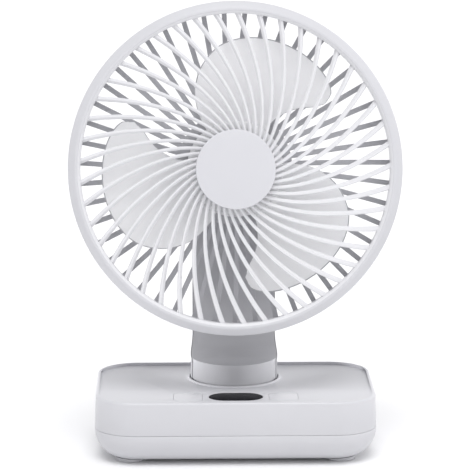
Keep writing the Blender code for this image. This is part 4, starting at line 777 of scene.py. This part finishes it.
flat = headPlace.inverted()
# the spokes and the ring's inner lip get the lighter white: painted highlight on the same plastic as the
# ring
secondFinish(frontGrille, finishes["spokeWhitePaintedHighlight"],
             lambda f: (flat @ f.center).xy.length < head["opening"] + head["lip"])

frontCap = turned("frontCap", [(0, 15.5 * mm), (20.3 * mm, 15.5 * mm), (20.8 * mm, 16 * mm),
                               (20.8 * mm, 18 * mm, 0.5 * mm), (0, 18 * mm)], 120, False, 4)
moveTo(frontCap, headPlace)
smooth(frontCap)
settle(frontCap, "head", "shell_white", finishes["capWhite"], "front_cap")

rearSpoke = {"count": 47, "start": 29 * mm, "end": 83.5 * mm, "hub": 30.5 * mm, "hubTop": -11.2 * mm,
             "rimTop": -8.6 * mm, "fall": 3, "lean": -0.04, "phase": math.radians(4.2), "growth": 0.92,
             "steps": 10}
rearSection = [(-1.4 * mm, -0.3 * mm), (-1.15 * mm, 0), (1.15 * mm, 0), (1.4 * mm, -0.3 * mm),
               (0.5 * mm, -2 * mm), (-0.5 * mm, -2 * mm)]
rearGrille = spokesRound("rearGrille", rearSpoke, rearSection)
rearRim = turned("rearRim", [
    (87.5 * mm, -0.3 * mm), (87.3 * mm, -7.6 * mm, 2 * mm), (84.6 * mm, -12 * mm, 1.6 * mm),
    (82.5 * mm, -12 * mm, 0.5 * mm), (82.5 * mm, -8.5 * mm), (84.5 * mm, -8.5 * mm),
    (85.5 * mm, -0.3 * mm)], 188, arcSteps=5)
rearPlate = turned("rearPlate", [
    (5.3 * mm, -13.5 * mm), (30.5 * mm, -13.5 * mm, 0.4 * mm), (30.5 * mm, -11 * mm, 0.6 * mm),
    (5.3 * mm, -11 * mm)], 141)
combine(rearGrille, "UNION", rearRim, rearPlate)
screwHoles = {"circle": 20 * mm, "radius": 1.6 * mm}
for k in range(3):
    a = math.radians(90 + 120 * k)
    place = (screwHoles["circle"] * math.cos(a), screwHoles["circle"] * math.sin(a))
    combine(rearGrille, "DIFFERENCE", bar("hole", screwHoles["radius"], -20 * mm, 0, place=place, sides=20))
moveTo(rearGrille, headPlace)
smooth(rearGrille)
settle(rearGrille, "head", "shell_white", finishes["rearGrey"], "rear_grille")

# Motor cover: a round pod with a ring of shallow vents in its back
cover = {"top": -13.8 * mm, "back": -28 * mm, "steps": 96, "ventInner": 16 * mm, "ventEvery": 4,
         "ventEdge": 0.45 * mm, "ventDepth": 0.9 * mm, "screwHole": 1.3 * mm, "screwAside": 3 * mm}
motorCover = turned("motorCover", [
    (0, -26 * mm), (22.2 * mm, -26 * mm, 1 * mm), (28 * mm, -21 * mm, 1 * mm), (28 * mm, cover["top"]),
    (30 * mm, cover["top"]), (30 * mm, -21 * mm, 4 * mm), (24 * mm, cover["back"], 4 * mm),
    (15 * mm, cover["back"]), (0, cover["back"])], cover["steps"], False, 6)
makeActive(motorCover)
editMode()


def ventFace(f):  # two steps in every four on the flat of the back
    place = middleOf(f)
    step = int(math.atan2(place.y, place.x) % (2 * math.pi) / (2 * math.pi) * cover["steps"])
    return f.normal.z < -0.9 and place.xy.length > cover["ventInner"] and step % cover["ventEvery"] < 2


pick(motorCover, "FACE", ventFace)
bpy.ops.mesh.inset(thickness=cover["ventEdge"], depth=0)
bpy.ops.mesh.extrude_region_move(TRANSFORM_OT_translate={"value": (0, 0, cover["ventDepth"])})
objectMode()
combine(motorCover, "DIFFERENCE", *[
    bar("screwHole", cover["screwHole"], -30 * mm, -24 * mm, place=(0, side * cover["screwAside"]), sides=20)
    for side in (-1, 1)])
moveTo(motorCover, headPlace)
smooth(motorCover)
settle(motorCover, "head", "shell_white", finishes["shellWhite"], "motor_cover")

# Tilt knuckle: flange, arm and barrel
knuckle = {"top": -28.3 * mm, "flange": 12 * mm, "height": 2.2 * mm, "armX": 8 * mm, "armY": 5.5 * mm,
           "barrel": 6.6 * mm, "half": 9.6 * mm}
tiltKnuckle = turned("tiltKnuckle", [
    (0, knuckle["top"] - knuckle["height"]),
    (knuckle["flange"], knuckle["top"] - knuckle["height"], 0.8 * mm),
    (knuckle["flange"], knuckle["top"]), (0, knuckle["top"])], 64, False)
arm = block("arm", (-knuckle["armX"], -knuckle["armY"], -head["forward"]),
            (knuckle["armX"], knuckle["armY"], knuckle["top"] - mm))
roundEdges(arm, 1.2 * mm, lambda e: abs(e.verts[0].co.z - e.verts[1].co.z) > 5 * mm, 4)
barrel = bar("barrel", knuckle["barrel"], -knuckle["half"], knuckle["half"], "X", (0, -head["forward"]), 64)
roundEdges(barrel, 0.5 * mm, lambda e: True, 3)
combine(tiltKnuckle, "UNION", arm, barrel)
combine(tiltKnuckle, "DIFFERENCE",
        bar("bore", neck["pinBore"], -0.05, 0.05, "X", (0, -head["forward"]), 32),
        *[bar("screwHole", cover["screwHole"], knuckle["top"] - 5 * mm, 0,
              place=(0, side * cover["screwAside"]), sides=20) for side in (-1, 1)])
moveTo(tiltKnuckle, headPlace)
smooth(tiltKnuckle)
settle(tiltKnuckle, "head", "neck_grey", finishes["neckGrey"], "tilt_knuckle")


# Blade wheel: edge points are (degrees round the hub, radius in mm), and so are hub and rim

blade = {"count": 3, "thick": 1.4 * mm, "rim": 0.6, "back": -7 * mm, "rise": 13 * mm, "columns": 48,
         "rows": 12, "hub": 24.2, "clear": 26,
         "tip": ((35.4, 58.5), (37.4, 64), (45, 67.8), (55.5, 69.6), (67, 70.2), (78, 69.8), (88, 68.2),
                 (97, 65), (104, 60), (112, 52.5), (120, 41.5), (128, 24.2)),
         "root": ((35.4, 57.5), (37.4, 52.5), (41.8, 47), (46.4, 41), (50, 34), (52, 24.2))}


def edgeRadius(edge, angle):  # a smooth curve through the edge's points
    if angle <= edge[0][0]:
        return edge[0][1]
    for k in range(len(edge) - 1):
        (a0, r0), (a1, r1) = edge[k], edge[k + 1]
        if angle <= a1:
            before, after = edge[max(k - 1, 0)], edge[min(k + 2, len(edge) - 1)]
            slope0, slope1 = (r1 - before[1]) / (a1 - before[0]), (after[1] - r0) / (after[0] - a0)
            t, span = (angle - a0) / (a1 - a0), a1 - a0
            return (r0 * (1 + 2 * t) * (1 - t) ** 2 + slope0 * span * t * (1 - t) ** 2
                    + r1 * t * t * (3 - 2 * t) + slope1 * span * t * t * (t - 1))
    return edge[-1][1]


def bladeSpan(angle):  # where the blade starts and ends, as radii in mm
    low = max(edgeRadius(blade["root"], angle), blade["hub"])
    return low, max(edgeRadius(blade["tip"], angle), low + 1)


bladeWheel = turned("bladeWheel", [
    (1.7 * mm, 9.4 * mm), (21.2 * mm, 9.4 * mm, 2 * mm), (24.2 * mm, 8.2 * mm, 1.5 * mm),
    (25.2 * mm, 5 * mm, 1.5 * mm),
    (25.2 * mm, -8.5 * mm), (22.8 * mm, -8.5 * mm), (22.8 * mm, 5.4 * mm), (1.7 * mm, 5.4 * mm)], 120)
clearSelection()
bpy.ops.mesh.primitive_grid_add(x_subdivisions=blade["columns"], y_subdivisions=blade["rows"], size=2)
oneBlade = nameIt("blade")
editMode()
work = bmesh.from_edit_mesh(oneBlade.data)
firstAngle, lastAngle = blade["tip"][0][0], blade["tip"][-1][0]
for vertex in work.verts:
    across, out = (vertex.co.x + 1) / 2, (vertex.co.y + 1) / 2
    share = (across * across * (3 - 2 * across) + across) / 2  # finer columns near both ends
    angle = firstAngle + (lastAngle - 2 - firstAngle) * share
    low, high = bladeSpan(angle)
    row = round(out * blade["rows"])  # the outermost rows are narrow, for the blade's edge
    rim = min(blade["rim"], (high - low) / 4)
    inside = low + rim + (high - low - 2 * rim) * (row - 1) / (blade["rows"] - 2)
    radius = (low if row == 0 else high if row == blade["rows"] else inside) * mm
    height = blade["back"] + blade["rise"] * (angle - firstAngle) / (lastAngle - firstAngle)
    turn = math.radians(angle)
    vertex.co = (radius * math.cos(turn), radius * math.sin(turn), height)
bmesh.update_edit_mesh(oneBlade.data)
bpy.ops.mesh.select_all(action="SELECT")
bpy.ops.mesh.normals_make_consistent(inside=False)
objectMode()
applyModifier(oneBlade, "SOLIDIFY", thickness=blade["thick"], offset=0)
roundEdges(oneBlade, 0.4 * mm, lambda e: middleOf(e).xy.length > blade["clear"] * mm, 2)
makeActive(oneBlade)
editMode()
bpy.ops.mesh.select_all(action="SELECT")
around = 2 * math.pi * (blade["count"] - 1) / blade["count"]
bpy.ops.mesh.spin(steps=blade["count"] - 1, dupli=True, angle=around, center=(0, 0, 0), axis=(0, 0, 1))
objectMode()
combine(bladeWheel, "UNION", oneBlade)
moveTo(bladeWheel, headPlace)
smooth(bladeWheel)
settle(bladeWheel, "rotor", "blade_white", finishes["bladeWhite"], "impeller")


def bladeRimShadeMask(f):  # the edges of the blades, painted darker as shade on their edge walls
    place = flat @ f.center
    around = math.degrees(math.atan2(place.y, place.x)) - firstAngle
    angle = firstAngle + around % (360 / blade["count"])
    radius, (low, high) = place.xy.length / mm, bladeSpan(angle)
    nearly = 0.9 * blade["rim"]
    return radius > blade["clear"] and not low + nearly < radius < high - nearly


# the blades' edge faces get the darker finish, painted shade for their shaded edge walls
secondFinish(bladeWheel, finishes["bladeEdgeShade"], bladeRimShadeMask)


# CAD nodes that keep their own shape get their finish by their material slot

finishBySlot = {"shell_white": "shellWhite", "neck_grey": "neckGrey", "blade_white": "bladeWhite",
                "silicone": "silicone", "lens_black": "lensBlack", "steel": "steel", "brass": "brass",
                "stator": "stator", "magnet": "magnet", "nylon": "nylon", "board_green": "boardGreen",
                "dark_plastic": "darkPlastic", "cell_wrap": "cellWrap", "cable": "cable"}
slotOfNode = {part["node"]: part["material_slot"] for part in frame["record"]["subparts"]}
for name, node in nodes.items():
    finish = finishes[finishBySlot[slotOfNode[name]]]
    for materialSlot in node.material_slots:
        materialSlot.material = finish
print("carried over:", sum(not node.hide_render for node in nodes.values()))
